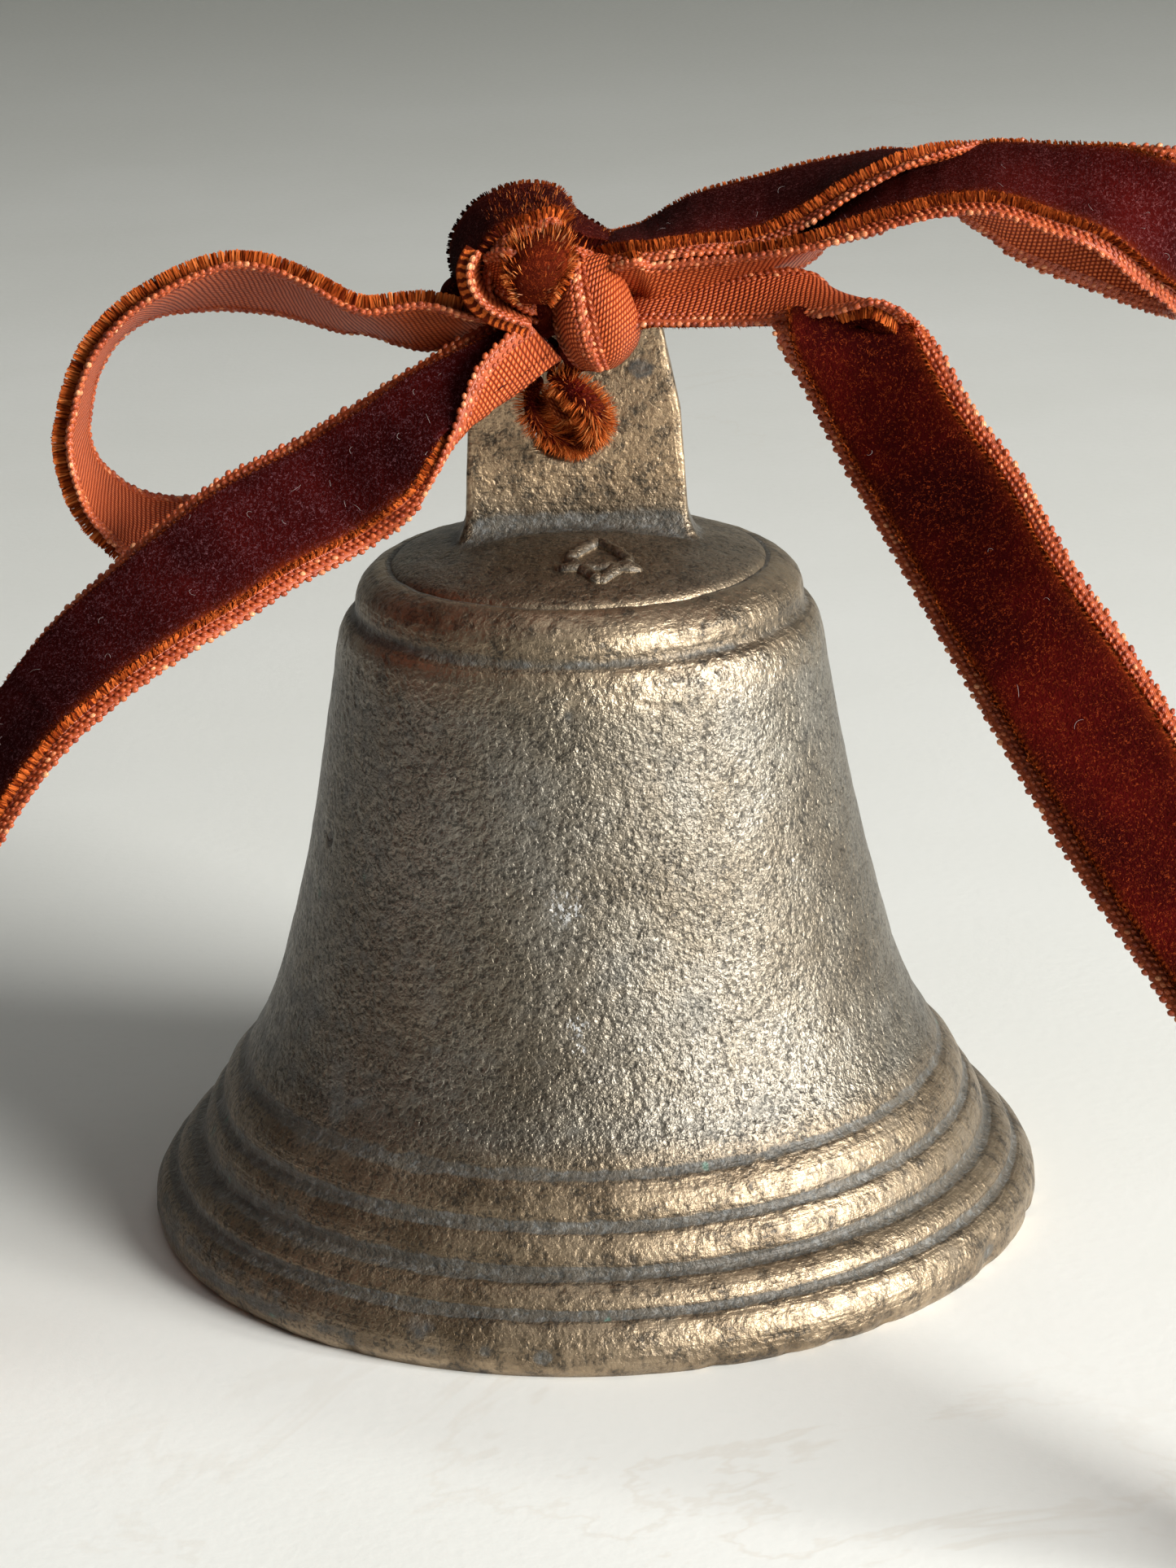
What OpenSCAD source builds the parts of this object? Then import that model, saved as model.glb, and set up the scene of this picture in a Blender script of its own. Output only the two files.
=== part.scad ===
// Small cast bronze sanctus bell with a flat pierced tang, an iron clapper
// on a cast-in staple, and a velvet ribbon tied in a bow through the tang.
// Millimetres. Origin: centre of the mouth, on the plane the lip stands on.
// +Z up, the flat of the tang faces +Y and -Y.

/* [Bell] */
// Diameter of the mouth over the lip
mouth_d = 68; // [66:1:70]
// Height of the casting at the middle of its crown, without the tang
crown_h = 53.5; // [53.5:0.5:54]
// Thickness of the lip where it stands
lip_t = 2.8; // [2.4:0.1:3.2]
// Inside height at the middle of the crown
inside_h = 50; // [49.5:0.5:50]
// Segments round the bell
round_fn = 96; // [64:8:128]

/* [Tang] */
// Width of the tang where it leaves the crown
tang_w = 16.6; // [15:0.2:18]
// Width of the tang under its rounded top
tang_top_w = 13.6; // [12.6:0.2:14]
// Height of the tang's top above the mouth
tang_top = 70; // [69:0.5:70]
// Thickness of the tang
tang_t = 3; // [2.6:0.2:3]
// Diameter of the hole in the tang
hole_d = 5.7; // [5.6:0.1:6]
// Height of the hole's centre above the mouth
hole_z = 61.3; // [61:0.1:61.6]
// Sideways place of the hole's centre
hole_x = -0.5; // [-0.6:0.1:-0.4]
// Height that the cast mark stands out of the crown
mark_h = 0.4; // [0.2:0.1:0.6]

/* [Clapper] */
// Wire diameter of the staple
staple_wire = 2; // [1.8:0.1:2.1]
// Height of the centre of the staple's lowest wire
staple_z = 43; // [42.5:0.5:43.5]
// Wire diameter of the link and the clapper's eye
link_wire = 1.6; // [1.4:0.1:1.6]
// Radius of the link, to the middle of its wire
link_r = 3.2; // [3.1:0.1:3.4]
// Radius of the clapper's eye, to the middle of its wire
eye_r = 2.2; // [2.1:0.1:2.3]
// Play between wires that bear on each other
play = 0.05; // [0.03:0.01:0.08]
// Diameter of the clapper rod
rod_d = 2.2; // [2:0.1:2.4]
// Diameter of the clapper ball
ball_d = 10; // [9:0.5:10]
// Height of the ball's centre above the mouth
ball_z = 8; // [7.5:0.5:9]

/* [Ribbon] */
// Thickness of the ribbon with its pile
ribbon_t = 1.2; // [0.8:0.1:1.3]
// Rings between two route points
ribbon_steps = 2; // [1:1:3]

/* [Hidden] */

ks = mouth_d / 68;
link_z = staple_z - (link_r - link_wire / 2 - staple_wire / 2 - play);
pivot2_z = link_z - link_r;
eye_z = pivot2_z - (eye_r - link_wire / 2 - link_wire / 2 - play);
staple_half = 3.2;

// Outside of the bell, [radius, height], from the lip up to the crown.
// The pairs give the lip band, three mouldings with grooves between them,
// the waist, the shoulder groove, the cordon and the crown disc.
lip_line = [[33.4, 0], [33.9, 0.5], [34, 1.2], [33.9, 2.4], [33.3, 3.5], [32.7, 4.1]];
moulding_1 = [[32.3, 4.3], [32.2, 4.8], [31.6, 5.5], [30.8, 6.1]];
moulding_2 = [[30.1, 6.5], [30.0, 7.1], [29.6, 8.1], [29.1, 9.0]];
moulding_3 = [[28.6, 9.4], [28.4, 10.1], [27.9, 11.1], [27.2, 12.0]];
waist_line = [[26.6, 12.6], [26.2, 13.4], [25.2, 15.1], [24.3, 17.1], [23.3, 19.8],
              [22.3, 23.5], [21.3, 27.7], [20.4, 32], [19.6, 36], [19.0, 39.5],
              [18.6, 42], [18.2, 44.6], [17.9, 45.9], [17.4, 46.9]];
cordon_line = [[16.7, 47.6], [16.7, 48.2], [16.4, 49.1], [15.7, 50], [14.8, 50.6], [14.1, 50.8]];
crown_line = [[13.8, 50.7], [13.3, 51.1], [12, 51.6], [10, 52.2], [7.5, 52.8], [4, 53.3]];
inner_line = [[30.5, 1.4], [29.3, 3.3], [27.9, 5.3], [26.6, 7.2], [25.3, 9.2], [24.2, 11.4],
              [22.9, 13.9], [21.6, 16.8], [20.5, 19.8], [19.4, 23.6], [18.5, 27.8], [17.7, 32],
              [16.9, 36], [16.3, 39.2], [15.7, 42], [15, 44.6], [13.8, 46.8], [12, 48.4],
              [9, 49.5]];

function scaled(list) = [for (p = list) [p[0] * ks, p[1]]];

module bell_wall() {
    rotate_extrude($fn = round_fn)
        polygon(concat(
            scaled(lip_line), scaled(moulding_1), scaled(moulding_2), scaled(moulding_3),
            scaled(waist_line), scaled(cordon_line), scaled(crown_line),
            [[0, crown_h], [0, inside_h]],
            [[5, inside_h - 0.1]],
            [for (i = [len(inner_line) - 1:-1:0]) [inner_line[i][0] * ks, inner_line[i][1]]],
            [[(34 - lip_t) * ks, 0]]));
}

// Flat tang with a slightly rounded top, and its outline in X and Z.
module tang_plate() {
    b = tang_w / 2;
    t = tang_top_w / 2;
    r = 3;
    translate([0, tang_t / 2, 0])
        rotate([90, 0, 0])
            linear_extrude(tang_t)
                polygon(concat(
                    [[-b, 51.5], [b, 51.5], [b * 0.985, 55], [(b + t) / 2 + 0.25, 62]],
                    [for (a = [0:15:90]) [t - r + r * cos(a), tang_top - r + r * sin(a)]],
                    [for (a = [90:15:180]) [-t + r + r * cos(a), tang_top - r + r * sin(a)]],
                    [[-(b + t) / 2 - 0.25, 62], [-b * 0.985, 55]]));
}

// Low fillet where the tang leaves the crown.
module tang_foot() {
    translate([-tang_w / 2 - 0.6, -tang_t / 2 - 0.7, 51.6])
        cube([tang_w + 1.2, tang_t + 1.4, 1.5]);
}

// Plain raised mark on the front of the crown: a lozenge with a bar.
module cast_mark() {
    translate([2.2, -10.2, 51.7])
        rotate([-17, 0, 0]) {
            rotate([0, 0, 45])
                translate([-1.5, -1.5, 0]) {
                    difference() {
                        cube([3, 3, 0.45 + mark_h]);
                        translate([0.7, 0.7, -1]) cube([1.6, 1.6, 3]);
                    }
                }
            translate([-2.9, -0.35, 0]) cube([5.8, 0.7, 0.45 + mark_h]);
        }
}

module bell_body() {
    color([0.42, 0.36, 0.28])
        difference() {
            union() {
                bell_wall();
                tang_plate();
                tang_foot();
                cast_mark();
            }
            translate([hole_x, 0, hole_z])
                rotate([90, 0, 0]) cylinder(d = hole_d, h = 10, center = true, $fn = 64);
            for (s = [-1, 1])
                translate([0, s * staple_half, 48])
                    cylinder(d = staple_wire, h = 3.6, $fn = 32);
        }
}

// U of iron wire, its two legs cast into the crown.
module crown_staple() {
    color([0.22, 0.2, 0.19]) {
        for (s = [-1, 1])
            translate([0, s * staple_half, staple_z + staple_half])
                cylinder(d = staple_wire, h = 51.6 - staple_z - staple_half, $fn = 32);
        translate([0, 0, staple_z + staple_half])
            rotate([0, 90, 0])
                rotate([0, 0, -90])
                    rotate_extrude(angle = 180, $fn = 64)
                        translate([staple_half, 0]) circle(d = staple_wire, $fn = 32);
    }
}

// Closed ring between the staple and the clapper's eye.
module clapper_link() {
    color([0.22, 0.2, 0.19])
        translate([0, 0, link_z])
            rotate([90, 0, 0])
                rotate_extrude($fn = 64)
                    translate([link_r, 0]) circle(d = link_wire, $fn = 32);
}

// Forged eye, rod and the riveted end under the ball, in one piece.
module clapper_shaft() {
    color([0.25, 0.22, 0.2])
        union() {
            translate([0, 0, eye_z])
                rotate([0, 90, 0])
                    rotate_extrude($fn = 64)
                        translate([eye_r, 0]) circle(d = link_wire, $fn = 32);
            translate([0, 0, ball_z - 5])
                cylinder(d = rod_d, h = eye_z - eye_r - ball_z + 5, $fn = 32);
            translate([0, 0, ball_z - 4.6])
                rotate_extrude($fn = 48)
                    polygon([[0, 0], [1.9, 0], [1.8, -0.5], [1.3, -0.95], [0, -1.2]]);
        }
}

// Iron ball, drilled through and flat where the rod's end is riveted.
module clapper_ball() {
    color([0.2, 0.19, 0.18])
        difference() {
            translate([0, 0, ball_z]) sphere(d = ball_d, $fn = 64);
            translate([0, 0, ball_z - 8]) cylinder(d = rod_d, h = 16, $fn = 32);
            translate([-6, -6, ball_z - 4.6 - 6]) cube([12, 12, 6]);
        }
}

// Routes of the ribbon's runs: each station holds a point on each of its two
// edges. The runs leave the knot in front of the tang.
left_loop = [
    [[-3, -8, 71], [-3, -5, 69]], [[-8, -10, 72], [-8, -4, 69]], [[-13, -11, 72], [-13, -3, 68]],
    [[-17, -10, 72], [-18, -2, 69]], [[-22, -9, 75], [-23, -1, 70]], [[-27, -10, 74], [-28, 0, 70]],
    [[-32, -10, 71], [-32, 0, 69]], [[-35, -10, 67], [-34, 0, 66]], [[-36, -10, 62], [-35, 0, 61]],
    [[-35, -9, 57], [-34, 1, 58]], [[-32, -7, 54], [-31, 3, 56]], [[-28, -6, 53], [-27, 4, 56]],
    [[-23, -6, 55], [-22, 4, 58]], [[-18, -6, 58], [-17, 3, 61]], [[-13, -7, 61], [-12, 0, 64]],
    [[-8, -7, 64], [-8, -3, 66]], [[-3, -8, 67], [-3, -5, 68]]];
left_tail = [
    [[-2, -11, 70], [-1, -8, 67]], [[-7, -13, 70], [-5, -9, 63]], [[-12, -14, 68], [-8, -9, 60]],
    [[-17, -13, 65], [-12, -11, 57]], [[-22, -12, 62], [-16, -16, 56]], [[-28, -14, 58], [-22, -19, 53]],
    [[-34, -16, 54], [-29, -23, 50]], [[-40, -18, 48], [-35, -27, 45]], [[-46, -21, 40], [-41, -29, 38]],
    [[-52, -24, 29], [-47, -32, 28]], [[-57, -27, 17], [-52, -35, 17]], [[-61, -29, 7], [-57, -38, 7]],
    [[-65, -31, 2], [-62, -40, 2]], [[-70, -33, 1], [-68, -43, 1]], [[-77, -36, 1], [-75, -46, 1]]];
right_loop = [
    [[2, -8, 74], [2, -5, 73]], [[7, -11, 75], [7, -3, 77]], [[12, -11, 76], [12, -2, 79]],
    [[17, -11, 77], [17, -1, 80]], [[22, -10, 80], [22, -1, 78]], [[27, -8, 82], [27, 0, 75]],
    [[32, -4, 82], [32, 0, 73]], [[37, -2, 80], [37, 1, 70]], [[42, -1, 78], [42, 1, 68]],
    [[46, -4, 78], [45, -2, 68]], [[47, -8, 79], [45, -7, 69]], [[45, -10, 81], [43, -13, 71]],
    [[41, -11, 82], [39, -16, 74]], [[36, -9, 82], [34, -17, 76]], [[31, -8, 80], [30, -17, 77]],
    [[26, -7, 78], [25, -16, 78]], [[21, -6, 75], [20, -15, 77]], [[16, -6, 72], [15, -14, 76]],
    [[11, -6, 71], [10, -14, 74]], [[6, -6, 70], [6, -12, 73]], [[1, -6, 70], [1, -9, 71]]];
right_tail = [
    [[1, -5, 68], [1, -9, 69]], [[6, -4, 69], [6, -10, 69]], [[10, -3, 69], [10, -12, 70]],
    [[13, -5, 69], [14, -14, 70]], [[14, -8, 69], [19, -16, 71]], [[15, -12, 68], [23, -17, 71]],
    [[16, -15, 66], [25, -18, 69]], [[19, -19, 62], [28, -20, 66]], [[21, -25, 58], [30, -24, 62]],
    [[24, -31, 53], [33, -30, 57]], [[28, -39, 47], [37, -38, 51]], [[32, -46, 41], [41, -45, 45]],
    [[36, -52, 35], [45, -51, 39]], [[40, -58, 28], [49, -57, 31]], [[43, -63, 20], [52, -62, 23]],
    [[46, -67, 12], [55, -66, 14]], [[49, -71, 5], [58, -70, 6]], [[52, -75, 2], [61, -73, 2]],
    [[56, -79, 1], [64, -76, 1]], [[60, -85, 1], [69, -82, 1]]];
hanging_loop = [
    [[-2, -6, 69], [2, -6, 69]], [[-3, -4, 65], [2, -4, 65]], [[-3, -3, 62], [2, -3, 62]],
    [[-2.6, -1, 60.8], [1.6, -1, 60.8]], [[-2.6, 1, 60.8], [1.6, 1, 60.8]], [[-3, 3, 62], [2, 3, 62]],
    [[-3, 4, 66], [2, 4, 66]], [[-3, 3, 70], [2, 3, 70]], [[-3, 1, 72], [2, 1, 72]],
    [[-3, -2, 73], [2, -2, 73]], [[-2, -5, 72], [2, -5, 72]]];

// Catmull-Rom point between b and c at u
function cr(a, b, c, d, u) =
    0.5 * ((2 * b) + (c - a) * u + (2 * a - 5 * b + 4 * c - d) * u * u + (3 * b - a - 3 * c + d) * u * u * u);
function at(list, i) = list[max(0, min(len(list) - 1, i))];
function fine(list, e) = [for (i = [0:len(list) - 2], k = [0:ribbon_steps - 1])
    cr(at(list, i - 1)[e], list[i][e], list[i + 1][e], at(list, i + 2)[e], k / ribbon_steps)];
function unit(v) = v / norm(v);

// Closed strip of rectangular section between two edge lines
module strip(route) {
    a = concat(fine(route, 0), [route[len(route) - 1][0]]);
    b = concat(fine(route, 1), [route[len(route) - 1][1]]);
    n = len(a);
    way = [for (i = [0:n - 1]) (a[min(n - 1, i + 1)] + b[min(n - 1, i + 1)] - a[max(0, i - 1)] - b[max(0, i - 1)])];
    nor = [for (i = [0:n - 1]) unit(cross(way[i], b[i] - a[i])) * ribbon_t / 2];
    pts = [for (i = [0:n - 1]) each [a[i] + nor[i], b[i] + nor[i], b[i] - nor[i], a[i] - nor[i]]];
    polyhedron(
        points = pts,
        faces = concat(
            [[3, 2, 1, 0]],
            [for (i = [0:n - 2], k = [0:3]) each [
                [i * 4 + 4 + (k + 1) % 4, i * 4 + 4 + k, i * 4 + k],
                [i * 4 + (k + 1) % 4, i * 4 + 4 + (k + 1) % 4, i * 4 + k]]],
            [[(n - 1) * 4, (n - 1) * 4 + 1, (n - 1) * 4 + 2, (n - 1) * 4 + 3]]));
}

// One length of ribbon: through the tang's hole, knotted in front of the
// tang, two loops and two tails.
module velvet_ribbon() {
    color([0.45, 0.1, 0.05])
        union() {
            strip(left_loop);
            strip(left_tail);
            strip(right_loop);
            strip(right_tail);
            strip(hanging_loop);
            hull() {
                translate([0.5, -7.4, 68.6]) sphere(r = 3.6, $fn = 24);
                translate([-3.4, -7, 74]) sphere(r = 3.4, $fn = 24);
                translate([1, -7.2, 73]) sphere(r = 3.4, $fn = 24);
                translate([-1.5, -6.6, 68.8]) sphere(r = 3, $fn = 24);
            }
        }
}

bell_body();
crown_staple();
clapper_link();
clapper_shaft();
clapper_ball();
velvet_ribbon();
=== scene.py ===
import math
import random

import bpy
import bmesh
import numpy as np
from mathutils import Matrix, Vector, noise


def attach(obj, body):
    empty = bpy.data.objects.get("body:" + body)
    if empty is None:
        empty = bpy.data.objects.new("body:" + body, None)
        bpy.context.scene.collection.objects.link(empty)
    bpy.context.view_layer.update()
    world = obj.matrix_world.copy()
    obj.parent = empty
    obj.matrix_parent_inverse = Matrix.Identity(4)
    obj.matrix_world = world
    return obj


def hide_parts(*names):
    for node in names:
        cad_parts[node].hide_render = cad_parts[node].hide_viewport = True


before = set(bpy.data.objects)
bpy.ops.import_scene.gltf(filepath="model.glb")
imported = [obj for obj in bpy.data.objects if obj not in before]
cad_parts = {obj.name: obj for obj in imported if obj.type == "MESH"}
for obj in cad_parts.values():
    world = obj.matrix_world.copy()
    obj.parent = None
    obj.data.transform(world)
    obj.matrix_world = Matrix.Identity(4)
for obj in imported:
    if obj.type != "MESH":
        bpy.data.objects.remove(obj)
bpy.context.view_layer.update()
MM = 0.001
rng = np.random.default_rng(20261)
random.seed(20261)
scene = bpy.context.scene
scene.view_settings.view_transform = "Standard"


def link(ob):
    scene.collection.objects.link(ob)
    return ob


# ---------------------------------------------------------------- camera
def make_camera():
    cam = bpy.data.cameras.new("camera")
    ob = link(bpy.data.objects.new("camera", cam))
    cam.sensor_width = 36.0
    cam.sensor_height = 36.0
    cam.lens = 5200.0 / 1927.0 * 36.0
    cam.clip_start, cam.clip_end = 0.02, 20.0
    pitch, yaw, roll = 0.31787, 0.00084, -0.0278
    fw = Vector((math.sin(yaw) * math.cos(pitch), math.cos(yaw) * math.cos(pitch), -math.sin(pitch)))
    right = fw.cross(Vector((0, 0, 1))).normalized()
    up = right.cross(fw)
    r2 = math.cos(roll) * right + math.sin(roll) * up
    u2 = -math.sin(roll) * right + math.cos(roll) * up
    m = Matrix((
        (r2.x, u2.x, -fw.x, 0.0),
        (r2.y, u2.y, -fw.y, -0.303587),
        (r2.z, u2.z, -fw.z, 0.132889),
        (0, 0, 0, 1)))
    ob.matrix_world = m
    scene.camera = ob
    return ob


make_camera()


# ---------------------------------------------------------------- node helpers
class Mat:
    """A node material with short helpers."""

    def __init__(self, name):
        self.m = bpy.data.materials.new(name)
        self.m.use_nodes = True
        self.nt = self.m.node_tree
        self.nt.nodes.clear()
        self.out = self.nt.nodes.new("ShaderNodeOutputMaterial")
        self.p = self.nt.nodes.new("ShaderNodeBsdfPrincipled")
        self.nt.links.new(self.p.outputs[0], self.out.inputs[0])

    def n(self, kind, **kw):
        node = self.nt.nodes.new(kind)
        for k, v in kw.items():
            setattr(node, k, v)
        return node

    def put(self, socket, value):
        if isinstance(value, bpy.types.NodeSocket):
            self.nt.links.new(value, socket)
        elif value is not None:
            socket.default_value = value

    def set(self, **kw):
        for k, v in kw.items():
            self.put(self.p.inputs[k.replace("_", " ")], v)

    def coords(self):
        return self.n("ShaderNodeTexCoord").outputs["Object"]

    def attr(self, name, out="Fac"):
        a = self.n("ShaderNodeAttribute")
        a.attribute_name = name
        return a.outputs[out]

    def math(self, op, a, b=None, c=None, clamp=False):
        node = self.n("ShaderNodeMath", operation=op, use_clamp=clamp)
        self.put(node.inputs[0], a)
        self.put(node.inputs[1], b)
        self.put(node.inputs[2], c)
        return node.outputs[0]

    def vmath(self, op, a, b=None, out=0):
        node = self.n("ShaderNodeVectorMath", operation=op)
        self.put(node.inputs[0], a)
        self.put(node.inputs[1], b)
        return node.outputs[out]

    def noise(self, vec, scale, detail=2.0, rough=0.5, distort=0.0):
        node = self.n("ShaderNodeTexNoise")
        self.put(node.inputs["Vector"], vec)
        node.inputs["Scale"].default_value = scale
        node.inputs["Detail"].default_value = detail
        node.inputs["Roughness"].default_value = rough
        node.inputs["Distortion"].default_value = distort
        return node.outputs[0]

    def voronoi(self, vec, scale, feature="F1", rand=1.0, out="Distance"):
        node = self.n("ShaderNodeTexVoronoi", feature=feature)
        self.put(node.inputs["Vector"], vec)
        node.inputs["Scale"].default_value = scale
        node.inputs["Randomness"].default_value = rand
        return node.outputs[out]

    def ramp(self, fac, stops, interp="LINEAR"):
        node = self.n("ShaderNodeValToRGB")
        node.color_ramp.interpolation = interp
        el = node.color_ramp.elements
        while len(el) < len(stops):
            el.new(0.5)
        for e, (pos, col) in zip(el, stops):
            e.position = pos
            e.color = (*col, 1.0) if len(col) == 3 else col
        self.put(node.inputs[0], fac)
        return node.outputs[0]

    def step(self, fac, lo, hi, out_lo=0.0, out_hi=1.0):
        node = self.n("ShaderNodeMapRange", interpolation_type="SMOOTHSTEP", clamp=True)
        self.put(node.inputs[0], fac)
        for i, v in enumerate((lo, hi, out_lo, out_hi)):
            node.inputs[i + 1].default_value = v
        return node.outputs[0]

    def mix(self, fac, a, b, blend="MIX"):
        node = self.n("ShaderNodeMix", data_type="RGBA", blend_type=blend)
        self.put(node.inputs[0], fac)
        for s, v in ((node.inputs[6], a), (node.inputs[7], b)):
            self.put(s, (*v, 1.0) if isinstance(v, tuple) and len(v) == 3 else v)
        return node.outputs[2]

    def bump(self, height, distance, strength=1.0, normal=None):
        node = self.n("ShaderNodeBump")
        node.inputs["Distance"].default_value = distance
        node.inputs["Strength"].default_value = strength
        self.put(node.inputs["Height"], height)
        self.put(node.inputs["Normal"], normal)
        return node.outputs[0]


# ---------------------------------------------------------------- stage and light
def floor_material():
    k = Mat("floor_stone")
    v = k.coords()
    cloud = k.noise(v, 9.0, 4.0, 0.6)
    vein = k.noise(v, 22.0, 6.0, 0.62, 0.6)
    vein = k.math("ABSOLUTE", k.math("SUBTRACT", vein, 0.5))
    vein = k.step(vein, 0.0, 0.018, 1.0, 0.0)
    patch = k.step(k.noise(v, 5.5, 2.0, 0.5), 0.56, 0.68)
    vein = k.math("MULTIPLY", vein, patch)
    fine = k.noise(v, 900.0, 3.0, 0.6)
    base = k.mix(k.step(cloud, 0.35, 0.7), (0.800, 0.800, 0.765), (0.850, 0.850, 0.822))
    base = k.mix(k.math("MULTIPLY", vein, 0.20), base, (0.62, 0.53, 0.42))
    base = k.mix(k.step(fine, 0.55, 0.75, 0.0, 0.10), base, (0.70, 0.69, 0.66))
    # painted shade: the floor darkens with distance behind the bell, in place of the light falling off
    far_painted_shade = k.n("ShaderNodeSeparateXYZ")
    k.put(far_painted_shade.inputs[0], v)
    base = k.mix(k.step(far_painted_shade.outputs[1], 0.20, 0.85, 0.0, 1.0), base, (0.54, 0.545, 0.51))
    k.set(Base_Color=base, Roughness=k.step(fine, 0.2, 0.8, 0.42, 0.6), Normal=k.bump(fine, 0.00006, 0.35))
    k.p.inputs["Specular IOR Level"].default_value = 0.35
    return k.m


def make_stage():
    # a slab that bends up into a backdrop far behind the bell
    prof = [(-1.2, 0.0), (0.95, 0.0)]
    for i in range(1, 13):
        a = math.radians(90 * i / 12)
        prof.append((0.95 + 0.5 * math.sin(a), 0.5 - 0.5 * math.cos(a)))
    prof.append((1.45, 1.6))
    bm = bmesh.new()
    rows = [[bm.verts.new((x, y, z)) for x in (-2.0, 2.0)] for y, z in prof]
    for a, b in zip(rows, rows[1:]):
        bm.faces.new((a[0], a[1], b[1], b[0]))
    me = bpy.data.meshes.new("stage_floor")
    bm.to_mesh(me)
    bm.free()
    me.polygons.foreach_set("use_smooth", [True] * len(me.polygons))
    ob = link(bpy.data.objects.new("stage_floor", me))
    me.materials.append(floor_material())


def area(name, where, aim, size, power, colour, size_y=None):
    li = bpy.data.lights.new(name, "AREA")
    li.energy = power
    li.color = colour
    li.shape = "RECTANGLE"
    li.size = size
    li.size_y = size_y or size
    ob = link(bpy.data.objects.new(name, li))
    ob.location = where
    ob.rotation_mode = "QUATERNION"
    ob.rotation_quaternion = (Vector(aim) - Vector(where)).to_track_quat("-Z", "Y")
    return ob


make_stage()
area("window", (0.74, -0.52, 0.36), (0.0, 0.01, 0.03), 0.54, 22.3, (0.995, 0.995, 0.96), 0.34)
area("overhead", (0.10, -0.20, 0.95), (0.0, 0.0, 0.0), 0.70, 1.5, (1.0, 0.99, 0.97), 0.70)
world = bpy.data.worlds.new("room")
scene.world = world
world.use_nodes = True
world.node_tree.nodes["Background"].inputs[0].default_value = (0.80, 0.83, 0.81, 1.0)
world.node_tree.nodes["Background"].inputs[1].default_value = 0.080


# ---------------------------------------------------------------- mesh helpers
def mesh_object(name, verts, faces, mats=(), face_mat=None, smooth=True):
    """A new object of verts (n, 3) in metres and a list or array of faces."""
    me = bpy.data.meshes.new(name)
    me.from_pydata(np.asarray(verts, float).tolist(), [], [list(map(int, f)) for f in faces])
    for m in mats:
        me.materials.append(m)
    if face_mat is not None:
        me.polygons.foreach_set("material_index", np.asarray(face_mat, np.int32))
    if smooth:
        me.polygons.foreach_set("use_smooth", np.ones(len(me.polygons), bool))
    me.update()
    return link(bpy.data.objects.new(name, me))


def float_attribute(me, name, values):
    a = me.attributes.new(name, "FLOAT", "POINT")
    a.data.foreach_set("value", np.asarray(values, np.float32))


def vector_attribute(me, name, values):
    a = me.attributes.new(name, "FLOAT_VECTOR", "POINT")
    a.data.foreach_set("vector", np.asarray(values, np.float32).ravel())


def coords_of(me):
    co = np.empty(len(me.vertices) * 3, np.float32)
    me.vertices.foreach_get("co", co)
    return co.reshape(-1, 3).astype(float)


def normals_of(me):
    no = np.empty(len(me.vertices) * 3, np.float32)
    me.vertices.foreach_get("normal", no)
    return no.reshape(-1, 3).astype(float)


def lumps(points, scale, octaves=1):
    """Smooth noise about 0 at points in mm; scale is one feature's size in mm."""
    out = np.zeros(len(points))
    amp, tot = 1.0, 0.0
    for _ in range(octaves):
        out += amp * np.array([noise.noise(Vector(p / scale)) for p in points])
        tot += amp
        amp *= 0.5
        scale *= 0.5
    return out / tot


def spline(points, n=None, step=None):
    """Catmull-Rom points through a list of rows, by chord length."""
    p = np.asarray(points, float)
    d = np.maximum(np.linalg.norm(np.diff(p.reshape(len(p), -1), axis=0), axis=1), 1e-9) ** 0.5
    t = np.concatenate([[0], np.cumsum(d)])
    m = np.empty_like(p)
    for i in range(len(p)):
        if i == 0:
            m[i] = (p[1] - p[0]) / (t[1] - t[0])
        elif i == len(p) - 1:
            m[i] = (p[-1] - p[-2]) / (t[-1] - t[-2])
        else:
            a, b = t[i] - t[i - 1], t[i + 1] - t[i]
            m[i] = (b * (p[i] - p[i - 1]) / a + a * (p[i + 1] - p[i]) / b) / (a + b)
    dense = np.linspace(0, t[-1], 40 * len(p))
    k = np.clip(np.searchsorted(t, dense, side="right") - 1, 0, len(p) - 2)
    h = (t[k + 1] - t[k])
    u = (dense - t[k]) / h
    ex = (slice(None),) + (None,) * (p.ndim - 1)
    u, h = u[ex], h[ex]
    q = ((2 * u**3 - 3 * u**2 + 1) * p[k] + (u**3 - 2 * u**2 + u) * h * m[k]
         + (-2 * u**3 + 3 * u**2) * p[k + 1] + (u**3 - u**2) * h * m[k + 1])
    flat = q.reshape(len(q), -1)
    mid = q if p.ndim == 2 else q.mean(axis=1)
    s = np.concatenate([[0], np.cumsum(np.linalg.norm(np.diff(mid, axis=0), axis=1))])
    if n is None:
        n = max(4, int(math.ceil(s[-1] / step)) + 1)
    want = np.linspace(0, s[-1], n)
    out = np.stack([np.interp(want, s, flat[:, j]) for j in range(flat.shape[1])], axis=1)
    return out.reshape((n,) + p.shape[1:]), s[-1]


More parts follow.
